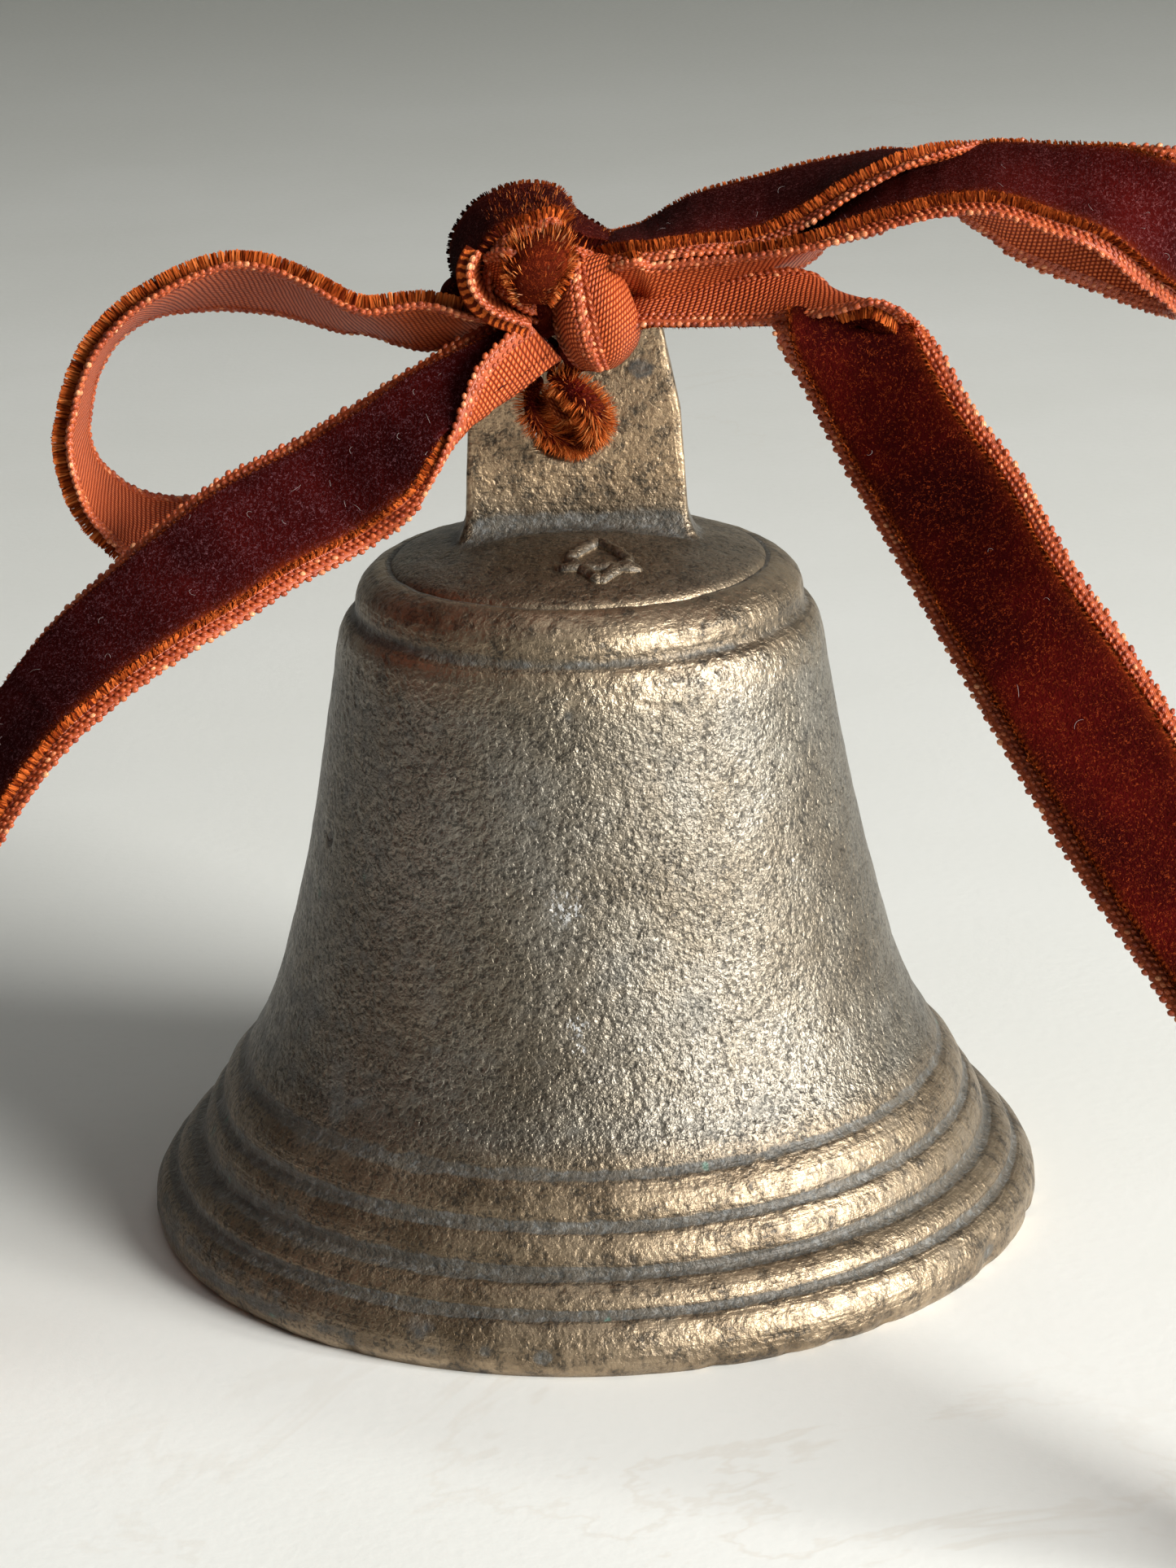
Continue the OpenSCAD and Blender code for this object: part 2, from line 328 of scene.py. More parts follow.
# ---------------------------------------------------------------- bronze
def bronze_material():
    k = Mat("aged_bronze")
    v = k.coords()
    # the cavity attribute holds the hollows and also painted shade on the side away from the light
    cav_and_shade = k.attr("cav_and_shade")
    worn = k.attr("worn")
    brushed = k.attr("brushed")
    big = k.noise(v, 55.0, 3.0, 0.55)
    mid = k.noise(v, 240.0, 4.0, 0.6)
    lump = k.noise(v, 900.0, 2.0, 0.5)
    grain = k.noise(v, 3300.0, 2.5, 0.62, 0.35)
    pit = k.voronoi(v, 1500.0, "SMOOTH_F1")
    speck = k.voronoi(v, 820.0, "F1")
    fine = k.noise(v, 5200.0, 1.0, 0.5)
    # brushed lines that run round the bell: noise squeezed along z
    sx = k.n("ShaderNodeMapping")
    sx.inputs["Scale"].default_value = (140.0, 140.0, 3600.0)
    k.put(sx.inputs["Vector"], v)
    brush = k.noise(sx.outputs[0], 1.0, 3.0, 0.6)

    tone = k.math("ADD", k.math("MULTIPLY", mid, 0.45), k.math("MULTIPLY", big, 0.55))
    metal = k.ramp(tone, [(0.34, (0.150, 0.118, 0.080)), (0.48, (0.222, 0.188, 0.142)), (0.60, (0.285, 0.254, 0.208)), (0.74, (0.320, 0.284, 0.228))])
    # handled and turned parts are browner than the grey cast wall
    metal = k.mix(k.math("MULTIPLY", brushed, 0.70), metal, k.mix(k.step(mid, 0.35, 0.65), (0.165, 0.108, 0.056), (0.285, 0.198, 0.112)))
    # the tang is rubbed to a warm tan
    sep = k.n("ShaderNodeSeparateXYZ")
    k.put(sep.inputs[0], v)
    rubbed = k.math("MULTIPLY", k.step(sep.outputs[2], 0.0540, 0.0580), k.step(k.math("ADD", k.math("MULTIPLY", mid, 0.6), k.math("MULTIPLY", lump, 0.4)), 0.36, 0.54, 0.25, 1.0))
    metal = k.mix(k.math("MULTIPLY", rubbed, 0.82), metal, (0.520, 0.350, 0.200))
    # dark hollows of the cast grain
    hollow = k.step(k.math("ADD", k.math("MULTIPLY", grain, 0.72), k.math("MULTIPLY", lump, 0.28)), 0.38, 0.53, 1.0, 0.0)
    metal = k.mix(k.math("MULTIPLY", hollow, 0.80), metal, (0.036, 0.030, 0.023))
    dots = k.math("MULTIPLY", k.step(speck, 0.10, 0.20, 1.0, 0.0), k.step(k.noise(v, 130.0, 2.0, 0.5), 0.52, 0.66))
    metal = k.mix(k.math("MULTIPLY", dots, 0.40), metal, (0.035, 0.032, 0.027))
    # wear on ridges and handled places
    ridge = k.step(cav_and_shade, -0.016, -0.090)
    wear = k.math("MULTIPLY", k.math("MAXIMUM", ridge, worn), k.step(k.math("ADD", k.math("MULTIPLY", mid, 0.6), k.math("MULTIPLY", lump, 0.4)), 0.38, 0.56), clamp=True)
    metal = k.mix(k.math("MULTIPLY", wear, 0.45), metal, (0.540, 0.405, 0.262))
    # patina in the grooves and corners, with grey-blue dust in it; the cavity value also brings the painted shade of
    # the side away from the light into these same colours
    groove_and_shade = k.step(k.math("ADD", cav_and_shade, k.math("MULTIPLY", k.math("SUBTRACT", k.math("ADD", k.math("MULTIPLY", mid, 0.5), k.math("MULTIPLY", lump, 0.5)), 0.5), 0.16)), 0.004, 0.075)
    dirty = k.math("MULTIPLY", k.step(big, 0.52, 0.66), k.step(mid, 0.50, 0.62))
    patina_and_shade = k.math("MAXIMUM", groove_and_shade, k.math("MULTIPLY", dirty, 0.55), clamp=True)
    dust_and_shade = k.math("MULTIPLY", groove_and_shade, k.step(k.noise(v, 1500.0, 3.0, 0.7), 0.50, 0.66))
    patina_and_shade_colour = k.mix(k.math("MULTIPLY", dust_and_shade, 0.75), (0.052, 0.052, 0.047), (0.160, 0.172, 0.175))
    col = k.mix(k.math("MULTIPLY", patina_and_shade, 0.74), metal, patina_and_shade_colour)
    green = k.math("MULTIPLY", groove_and_shade, k.step(k.noise(v, 420.0, 2.0, 0.5), 0.70, 0.76))
    col = k.mix(k.math("MULTIPLY", green, 0.5), col, (0.10, 0.26, 0.20))
    # pale specks of plaster or paint caught in the grain on the front
    pale = None
    for x, y, z, r in PALE_SPOTS:
        d = k.vmath("DISTANCE", v, (x * MM, y * MM, z * MM), out=1)
        near = k.step(d, r * MM * 0.25, r * MM, 1.0, 0.0)
        pale = near if pale is None else k.math("MAXIMUM", pale, near)
    pale = k.math("MULTIPLY", pale, k.step(k.noise(v, 3000.0, 2.0, 0.6), 0.52, 0.60))
    col = k.mix(k.math("MULTIPLY", pale, 0.85), col, (0.62, 0.62, 0.62))
    dark = None
    for x, y, z, r in DARK_SPOTS:
        d = k.vmath("DISTANCE", v, (x * MM, y * MM, z * MM), out=1)
        near = k.step(k.math("ADD", d, k.math("MULTIPLY", k.math("SUBTRACT", lump, 0.5), 0.0012)), r * MM * 0.5, r * MM, 1.0, 0.0)
        dark = near if dark is None else k.math("MAXIMUM", dark, near)
    col = k.mix(k.math("MULTIPLY", dark, 0.7), col, (0.055, 0.062, 0.068))
    cover = k.math("MAXIMUM", k.math("MAXIMUM", k.math("MULTIPLY", patina_and_shade, 0.75), pale), k.math("MULTIPLY", dark, 0.8))
    k.set(Base_Color=col, Metallic=k.step(cover, 0.1, 1.0, 0.92, 0.25))
    k.p.inputs["Coat Weight"].default_value = 0.50
    k.p.inputs["Coat Roughness"].default_value = 0.44
    rough = k.math("ADD", k.step(grain, 0.3, 0.7, 0.50, 0.35), k.math("MULTIPLY", patina_and_shade, 0.16))
    rough = k.math("ADD", rough, k.math("MULTIPLY", brushed, 0.09))
    rough = k.math("SUBTRACT", rough, k.math("MULTIPLY", wear, 0.06))
    k.set(Roughness=rough)
    h = k.math("ADD", k.math("MULTIPLY", grain, 0.75), k.math("MULTIPLY", k.step(pit, 0.05, 0.5), 0.35))
    h = k.math("ADD", h, k.math("MULTIPLY", fine, 0.12))
    flat = k.math("SUBTRACT", 1.0, k.math("MULTIPLY", brushed, 0.22))
    flat = k.math("MULTIPLY", flat, k.step(wear, 0.0, 1.0, 1.0, 0.62))
    h = k.math("MULTIPLY", h, flat)
    h = k.math("ADD", h, k.math("MULTIPLY", k.math("MULTIPLY", brush, brushed), 0.40))
    low = k.bump(lump, 0.00018, 0.28)
    k.set(Normal=k.bump(h, 0.00022, 0.95, low))
    k.put(k.p.inputs["Coat Normal"], k.bump(h, 0.00020, 0.8, low))
    return k.m


PALE_SPOTS = [(-1.6, -21.0, 30.6, 1.9), (-1.0, -22.6, 22.2, 1.1), (-0.9, -22.9, 20.6, 0.7)]
DARK_SPOTS = [(4.9, -1.5, 65.2, 1.0), (-13.0, -31.5, 3.4, 1.6)]


def laplacian(co, edges, rounds, factor=0.5):
    n = np.zeros(len(co))
    np.add.at(n, edges[:, 0], 1)
    np.add.at(n, edges[:, 1], 1)
    n = np.maximum(n, 1)[:, None]
    out = co.copy()
    for _ in range(rounds):
        s = np.zeros_like(out)
        np.add.at(s, edges[:, 0], out[edges[:, 1]])
        np.add.at(s, edges[:, 1], out[edges[:, 0]])
        out += factor * (s / n - out)
    return out


def edges_of(me):
    e = np.empty(len(me.edges) * 2, np.int32)
    me.edges.foreach_get("vertices", e)
    return e.reshape(-1, 2)


OUTER = [[33.4, 0], [33.9, 0.5], [34, 1.2], [33.9, 2.4], [33.3, 3.5], [32.7, 4.1],
         [32.3, 4.3], [32.2, 4.8], [31.6, 5.5], [30.8, 6.1],
         [30.1, 6.5], [30.0, 7.1], [29.6, 8.1], [29.1, 9.0],
         [28.6, 9.4], [28.4, 10.1], [27.9, 11.1], [27.2, 12.0],
         [26.6, 12.6], [26.2, 13.4], [25.2, 15.1], [24.3, 17.1], [23.3, 19.8],
         [22.3, 23.5], [21.3, 27.7], [20.4, 32], [19.6, 36], [19.0, 39.5],
         [18.6, 42], [18.2, 44.6], [17.9, 45.9], [17.4, 46.9],
         [16.7, 47.6], [16.7, 48.2], [16.4, 49.1], [15.7, 50], [14.8, 50.6], [14.1, 50.8], [13.8, 50.7]]
CROWN = [[13.6, 50.75], [13.3, 51.1], [12, 51.6], [10, 52.2], [7.5, 52.8], [4, 53.3], [0, 53.5]]
INNER = [[31.2, 0], [30.5, 1.4], [29.3, 3.3], [27.9, 5.3], [26.6, 7.2], [25.3, 9.2], [24.2, 11.4],
         [22.9, 13.9], [21.6, 16.8], [20.5, 19.8], [19.4, 23.6], [18.5, 27.8], [17.7, 32],
         [16.9, 36], [16.3, 39.2], [15.7, 42], [15, 44.6], [13.8, 46.8], [12, 48.4],
         [9, 49.5], [5, 49.9], [0.02, 50]]
# where each groove lies on the outside, [radius, height, depth]
GROOVES = [[32.45, 4.22, 0.17], [30.4, 6.35, 0.20], [28.8, 9.25, 0.17], [26.85, 12.4, 0.10],
           [17.0, 47.3, 0.17], [13.9, 50.75, 0.10]]


def resample(line, step, smooth_mm):
    p = np.asarray(line, float)
    s = np.concatenate([[0], np.cumsum(np.linalg.norm(np.diff(p, axis=0), axis=1))])
    n = int(round(s[-1] / step)) + 1
    t = np.linspace(0, s[-1], n)
    q = np.stack([np.interp(t, s, p[:, 0]), np.interp(t, s, p[:, 1])], axis=1)
    rounds = max(1, int((smooth_mm / step) ** 2))
    for _ in range(rounds):
        q[1:-1] += 0.5 * ((q[:-2] + q[2:]) / 2 - q[1:-1])
    return q


def build_bell():
    seg = 480
    outer = resample(OUTER, 0.27, 0.30)
    shelf = np.array([[13.2, 50.3], [9.0, 50.9], [4.0, 51.4], [0.02, 51.5]])
    stand = np.array([[31.9, 0.0], [32.6, 0.0]])
    inner = resample(INNER[::-1], 0.9, 0.5)
    prof = np.concatenate([inner, stand, outer, shelf])
    n = len(prof)
    is_outer = np.zeros(n, bool)
    is_outer[len(inner) + len(stand):len(inner) + len(stand) + len(outer)] = True
    th = np.linspace(0, 2 * math.pi, seg, endpoint=False)
    d = np.gradient(prof, axis=0)
    nor = np.stack([d[:, 1], -d[:, 0]], axis=1)
    nor /= np.maximum(np.linalg.norm(nor, axis=1), 1e-9)[:, None]
    R = np.repeat(prof[:, 0][:, None], seg, axis=1)
    Z = np.repeat(prof[:, 1][:, None], seg, axis=1)
    off = np.zeros((n, seg))
    for gi, (gr, gz, depth) in enumerate(GROOVES):
        ang = lumps(np.stack([np.cos(th) * 9, np.sin(th) * 9, np.full(seg, 31.0 * gi)], axis=1), 2.6, 2)
        ang2 = lumps(np.stack([np.cos(th) * 9, np.sin(th) * 9, np.full(seg, 31.0 * gi + 12)], axis=1), 1.1, 2)
        dist = np.sqrt((prof[:, 0:1] - gr) ** 2 + (prof[:, 1:2] - gz - 0.22 * ang[None, :]) ** 2)
        off -= depth * (1.0 + 0.9 * ang2)[None, :] * np.exp(-(dist / 0.52) ** 2) * is_outer[:, None]
    # ridges a little fuller than the line through the measured points
    for rr, rz, w, a in ((31.6, 5.3, 0.8, 0.04), (29.7, 7.8, 0.9, 0.07), (28.1, 10.6, 0.9, 0.06), (16.3, 49.2, 1.0, 0.06)):
        dist = np.hypot(prof[:, 0] - rr, prof[:, 1] - rz)
        off += (a * np.exp(-(dist / w) ** 2) * is_outer)[:, None]
    X = (R + off * nor[:, 0:1]) * np.cos(th)[None, :]
    Y = (R + off * nor[:, 0:1]) * np.sin(th)[None, :]
    ZZ = Z + off * nor[:, 1:2]
    P = np.stack([X, Y, ZZ], axis=2)
    # unevenness of the casting
    N3 = np.stack([nor[:, 0:1] * np.cos(th), nor[:, 0:1] * np.sin(th), np.repeat(nor[:, 1:2], seg, axis=1)], axis=2)
    flatP = P.reshape(-1, 3)
    uneven = 0.13 * lumps(flatP, 9.0) + 0.046 * lumps(flatP + 40, 2.8) + 0.032 * lumps(flatP - 25, 1.15)
    keep = np.ones(n)
    keep[np.abs(prof[:, 1]) < 0.02] = 0.0
    keep[-4:] = 0.0
    uneven = uneven.reshape(n, seg) * keep[:, None]
    # dents and nicks: angle from +X, height, radius, depth
    ring_xy = np.stack([np.cos(th), np.sin(th)], axis=1)
    dents = [(-97.0, 1.7, 0.9, 0.22), (-94.0, 1.8, 0.45, -0.12), (-104.0, 2.2, 0.7, 0.14), (-31.0, 1.0, 1.2, 0.40),
             (-60.0, 0.4, 0.8, 0.30), (-66.5, 0.4, 0.6, 0.22), (-76.0, 0.3, 0.9, 0.20), (-52.0, 0.5, 0.8, 0.26),
             (-122.0, 0.5, 0.8, 0.22), (-15.0, 0.7, 1.0, 0.30), (60.0, 0.6, 1.1, 0.35), (140.0, 0.5, 0.9, 0.30),
             (-44.0, 0.5, 0.5, 0.20), (-84.0, 0.5, 0.5, 0.16), (170.0, 1.6, 1.4, 0.25), (95.0, 1.2, 0.9, 0.20),
             (-90.0, 9.6, 1.0, 0.12), (-118.0, 12.4, 1.4, 0.10), (-72.0, 40.0, 1.3, 0.10), (-101.0, 36.5, 1.0, 0.08),
             (-80.0, 46.6, 0.9, -0.14), (-66.0, 46.5, 1.1, 0.20), (-52.0, 49.3, 0.9, -0.12), (-90.0, 48.6, 0.7, -0.12),
             (-93.0, 44.0, 0.6, 0.10), (-158.0, 31.8, 0.5, 0.30), (20.0, 26.0, 2.0, 0.14), (110.0, 30.0, 2.2, 0.14)]
    for a, z, r, dep in dents:
        rad = np.interp(z, outer[:len(outer) - 6, 1], outer[:len(outer) - 6, 0])
        c = np.array([rad * math.cos(math.radians(a)), rad * math.sin(math.radians(a)), z])
        dd = np.linalg.norm(P - c, axis=2)
        uneven -= dep * np.exp(-(dd / r) ** 2) * is_outer[:, None]
    P = P + N3 * uneven[:, :, None]
    P[:, :, 2] = np.where(is_outer[:, None] & (P[:, :, 2] < 0.0), 0.0, P[:, :, 2])
    verts = P.reshape(-1, 3)
    i, j = np.meshgrid(np.arange(n - 1), np.arange(seg), indexing="ij")
    j2 = (j + 1) % seg
    faces = np.stack([i * seg + j, i * seg + j2, (i + 1) * seg + j2, (i + 1) * seg + j], axis=2).reshape(-1, 4)
    faces = faces.tolist()
    faces.append(list(range(seg))[::-1])
    faces.append([(n - 1) * seg + q for q in range(seg)])
    body = mesh_object("bell_lathe", verts * MM, faces)

    # crown disc, tang, fillet and cast mark, joined as one skin
    parts = []

    def lathe_solid(line, segs=160):
        vs, fs = [], []
        for r, z in line:
            vs += [(r * math.cos(2 * math.pi * q / segs), r * math.sin(2 * math.pi * q / segs), z) for q in range(segs)]
        for a in range(len(line) - 1):
            for q in range(segs):
                q2 = (q + 1) % segs
                fs.append((a * segs + q, a * segs + q2, (a + 1) * segs + q2, (a + 1) * segs + q))
        fs.append(tuple(range(segs))[::-1])
        fs.append(tuple((len(line) - 1) * segs + q for q in range(segs)))
        return mesh_object("part", np.array(vs), fs, smooth=False)

    parts.append(lathe_solid([[13.6, 49.6], [14.0, 50.3], [13.95, 50.66], [13.7, 50.86], [13.35, 51.1], [12, 51.6], [10, 52.2], [7.5, 52.8], [4, 53.3], [0.05, 53.5]]))

    def prism(outline, y0, y1, widen=0.0):
        c = np.mean(outline, axis=0)
        vs = [(x, y0, z) for x, z in outline] + [(x, y1, z) for x, z in outline]
        m = len(outline)
        fs = [tuple(range(m)), tuple(range(2 * m - 1, m - 1, -1))]
        fs += [(q, q + m, (q + 1) % m + m, (q + 1) % m) for q in range(m)]
        return mesh_object("part", np.array(vs), fs, smooth=False)

    out = [(-8.3, 51.5), (8.3, 51.5), (8.18, 55), (7.8, 62)]
    out += [(3.8 + 3 * math.cos(math.radians(a)), 67 + 3 * math.sin(math.radians(a))) for a in range(0, 91, 10)]
    out += [(-3.8 + 3 * math.cos(math.radians(a)), 67 + 3 * math.sin(math.radians(a))) for a in range(90, 181, 10)]
    out += [(-7.8, 62), (-8.18, 55)]
    tang = prism(out, -1.5, 1.5)
    bpy.ops.object.select_all(action="DESELECT")
    cutter = lathe_solid([[2.85, -6], [2.85, 6]], 64)
    cutter.matrix_world = Matrix.Translation((-0.5, 0, 61.3)) @ Matrix.Rotation(math.radians(90), 4, "X")
    bool_mod = tang.modifiers.new("hole", "BOOLEAN")
    bool_mod.operation = "DIFFERENCE"
    bool_mod.object = cutter
    bool_mod.solver = "EXACT"
    apply_modifiers(tang)
    bpy.data.objects.remove(cutter)
    parts.append(tang)
    # fillet wedge at the tang's foot
    wedge = []
    for z, hx, hy in ((51.4, 8.9, 2.5), (52.7, 8.75, 2.3), (53.3, 8.5, 1.85), (53.8, 8.3, 1.6), (54.3, 8.1, 1.3)):
        wedge.append([(-hx, -hy, z), (hx, -hy, z), (hx, hy, z), (-hx, hy, z)])
    vs = [p for ring in wedge for p in ring]
    fs = [(3, 2, 1, 0), tuple(len(vs) - 4 + q for q in range(4))]
    for a in range(len(wedge) - 1):
        fs += [(a * 4 + q, a * 4 + (q + 1) % 4, a * 4 + 4 + (q + 1) % 4, a * 4 + 4 + q) for q in range(4)]
    parts.append(mesh_object("part", np.array(vs), fs, smooth=False))
    for o in parts:
        o.data.transform(o.matrix_world)
        o.matrix_world = Matrix.Identity(4)
    cap = join(parts, "crown_and_tang")
    rm = cap.modifiers.new("skin", "REMESH")
    rm.mode = "VOXEL"
    rm.voxel_size = 0.21
    rm.adaptivity = 0.0
    apply_modifiers(cap)
    me = cap.data
    co = coords_of(me)
    ed = edges_of(me)
    co = laplacian(co, ed, 7, 0.5)
    me.vertices.foreach_set("co", co.astype(np.float32).ravel())
    me.update()
    no = normals_of(me)
    on_tang = co[:, 2] > 53.2
    uneven = np.where(on_tang, 0.030, 0.06) * lumps(co, 3.0) + 0.028 * lumps(co + 9, 1.1)
    co = co + no * uneven[:, None]
    me.vertices.foreach_set("co", (co * MM).astype(np.float32).ravel())
    me.update()
    me.polygons.foreach_set("use_smooth", np.ones(len(me.polygons), bool))
    # plain cast mark on the crown: lozenge outline with a bar through it
    marks = []
    corners = [(0.0, 3.3), (2.3, 0.2), (0.0, -2.9), (-2.3, 0.2)]
    for a, b in list(zip(corners, corners[1:] + corners[:1])) + [((-3.0, -1.0), (3.0, -1.0))]:
        marks.append(cast_stroke(a, b, 1.5, -8.2))
    bell = join([body, cap] + marks, "bell_bronze")
    me = bell.data
    co = coords_of(me) * 1000.0
    ed = edges_of(me)
    no = normals_of(me)
    rr = np.hypot(co[:, 0], co[:, 1])
    sm = laplacian(co, ed, 10, 0.5)
    cav_and_shade = ((sm - co) * no).sum(1)
    sm2 = laplacian(sm, ed, 26, 0.5)
    cav_and_shade = cav_and_shade * 0.9 + ((sm2 - co) * no).sum(1) * 0.55
    # the join between disc and cordon, and the foot of the tang
    outside = no[:, 2] * 1.0 + (co[:, 0] * no[:, 0] + co[:, 1] * no[:, 1]) / np.maximum(rr, 1) > -0.2
    cav_and_shade += 0.045 * np.exp(-((rr - 13.95) / 0.45) ** 2) * (co[:, 2] > 49.5) * (co[:, 2] < 51.6)
    # the shoulder groove holds little dirt, in a thin broken line
    at_groove = (co[:, 2] > 45.6) & (co[:, 2] < 49.0) & (rr > 15.5)
    thin = 0.085 * np.exp(-(np.hypot(rr - 16.9, co[:, 2] - 47.35) / 0.34) ** 2)
    cav_and_shade = np.where(at_groove, np.minimum(cav_and_shade, 0.0) + thin * (0.75 + 0.8 * lumps(co, 1.6)), cav_and_shade)
    # painted shade: the side away from the light is made darker through the cavity value, so it takes the patina
    # colour; the outer lip is also darker towards its bottom edge
    painted_shade_away = np.clip(-co[:, 0] / np.maximum(rr, 1) + 0.02, 0, 0.8) / 0.8
    cav_and_shade += painted_shade_away * np.where(co[:, 2] < 53, 0.034 + 0.090 * np.clip((15 - co[:, 2]) / 8, 0, 1), 0)
    cav_and_shade += 0.050 * np.clip((3.2 - co[:, 2]) / 1.6, 0, 1) * (rr > 31) * (0.9 + 0.9 * lumps(co, 3.0))
    foot = np.maximum(np.abs(co[:, 0]) - 8.3, 0) ** 2 + np.maximum(np.abs(co[:, 1]) - 1.6, 0) ** 2
    cav_and_shade += 0.07 * np.exp(-foot / 0.8) * np.exp(-((co[:, 2] - 53.5) / 0.9) ** 2)
    inside = (rr < np.interp(co[:, 2], [0, 12, 30, 47, 50.4], [31.8, 25.2, 19.4, 15.0, 13.0])) & (co[:, 2] < 50.2)
    cav_and_shade = np.where(inside, 0.03, cav_and_shade)
    th = np.arctan2(co[:, 1], co[:, 0])
    worn = 0.95 * np.exp(-((co[:, 2] - 45.4) / 1.3) ** 2) * (0.55 + 0.45 * np.cos(th - math.radians(-62)))
    worn += 0.65 * np.exp(-((co[:, 2] - 49.4) / 0.7) ** 2) * (rr > 14) * (0.5 + 0.5 * np.cos(th - math.radians(-60)))
    worn += 0.26 * np.exp(-(np.maximum(co[:, 2] - 1.6, 0) / 1.3) ** 2) * (rr > 32) * (0.20 + 0.70 * np.maximum(np.cos(th - math.radians(-62)), 0))
    edge = np.clip((np.abs(co[:, 0]) - np.interp(co[:, 2], [53, 55, 62, 67, 70], [7.9, 7.75, 7.35, 6.4, 4.5])) / 0.35, 0, 1)
    worn += edge * (co[:, 2] > 54.2) * 0.9
    worn += 0.55 * (co[:, 2] > 55.0)
    on_mark = (np.hypot(co[:, 0] - 1.5, co[:, 1] + 8.2) < 3.8) & (co[:, 2] > 51.0)
    lift = co[:, 2] - np.interp(rr, [0, 4, 7.5, 10, 12, 13.3], [53.5, 53.3, 52.8, 52.2, 51.6, 51.1])
    cav_and_shade = np.where(on_mark & (lift > 0.05), 0.062 - 0.12 * np.clip(lift - 0.05, 0, 0.4), cav_and_shade)
    brushed = np.clip((14.5 - co[:, 2]) / 2.0, 0, 1)
    brushed = np.maximum(brushed, np.clip((co[:, 2] - 45.8) / 1.0, 0, 1) * (co[:, 2] < 55) * 0.76)
    brushed = np.where(co[:, 2] > 53.6, 0.78, brushed)
    worn = np.where(inside, 0.0, np.clip(worn, 0, 1))
    # this attribute holds the hollows and also the painted shade on the side away from the light
    float_attribute(me, "cav_and_shade", cav_and_shade)
    float_attribute(me, "worn", worn)
    float_attribute(me, "brushed", brushed)
    me.materials.clear()
    me.materials.append(bronze_material())
    me.polygons.foreach_set("material_index", np.zeros(len(me.polygons), np.int32))
    return bell


def crown_height(r):
    return float(np.interp(r, [0, 4, 7.5, 10, 12, 13.3], [53.5, 53.3, 52.8, 52.2, 51.6, 51.1]))


def cast_stroke(a, b, cx, cy, n=26, m=10):
    """A low rounded stroke from a to b that follows the crown, its edges soft and uneven."""
    a, b = np.array(a), np.array(b)
    ln = np.linalg.norm(b - a)
    d = (b - a) / ln
    sd = np.array([-d[1], d[0]])
    vs = []
    for i in range(n):
        u = i / (n - 1)
        fat = min(1.0, math.sqrt(max(0.0, 1 - (2 * u - 1) ** 8)))
        p = a + d * (u * (ln + 0.3) - 0.15)
        wob = noise.noise(Vector((p[0] * 1.7, p[1] * 1.7, 3.3)))
        half, top = (0.52 + 0.12 * wob) * max(fat, 0.25), (0.46 + 0.16 * wob) * max(fat, 0.15)
        for j in range(m):
            t = math.pi * j / (m - 1)
            q = p + sd * (half * math.cos(t)) + np.array([cx, cy])
            base = crown_height(math.hypot(q[0], q[1]))
            vs.append((q[0], q[1], base - 0.12 + (top + 0.12) * math.sin(t) ** 0.8))
        q = p + np.array([cx, cy])
        vs.append((q[0], q[1], crown_height(math.hypot(q[0], q[1])) - 0.5))
    k = m + 1
    fs = [tuple(range(k))[::-1], tuple((n - 1) * k + q for q in range(k))]
    for i in range(n - 1):
        fs += [(i * k + q, i * k + (q + 1) % k, (i + 1) * k + (q + 1) % k, (i + 1) * k + q) for q in range(k)]
    ob = mesh_object("part", np.array(vs) * MM, fs)
    bm = bmesh.new()
    bm.from_mesh(ob.data)
    bmesh.ops.recalc_face_normals(bm, faces=bm.faces)
    bm.to_mesh(ob.data)
    bm.free()
    return ob


def apply_modifiers(ob):
    dg = bpy.context.evaluated_depsgraph_get()
    dg.update()
    new = bpy.data.meshes.new_from_object(ob.evaluated_get(dg))
    ob.modifiers.clear()
    old = ob.data
    ob.data = new
    bpy.data.meshes.remove(old)


def join(objects, name):
    """One object out of several meshes, in place."""
    vs, fs, mi, mats, base = [], [], [], [], 0
    for o in objects:
        me = o.data
        for m in me.materials:
            if m not in mats:
                mats.append(m)
    for o in objects:
        me = o.data
        co = coords_of(me)
        vs.append(co)
        idx = np.zeros(len(me.polygons), np.int32)
        me.polygons.foreach_get("material_index", idx)
        look = [mats.index(m) for m in me.materials] or [0]
        for p, k in zip(me.polygons, idx):
            fs.append([base + q for q in p.vertices])
            mi.append(look[min(k, len(look) - 1)])
        base += len(co)
    made = mesh_object(name, np.concatenate(vs), fs, mats, mi)
    for o in objects:
        bpy.data.objects.remove(o)
    return made


bell = build_bell()
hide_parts("bell_body")
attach(bell, "bell")


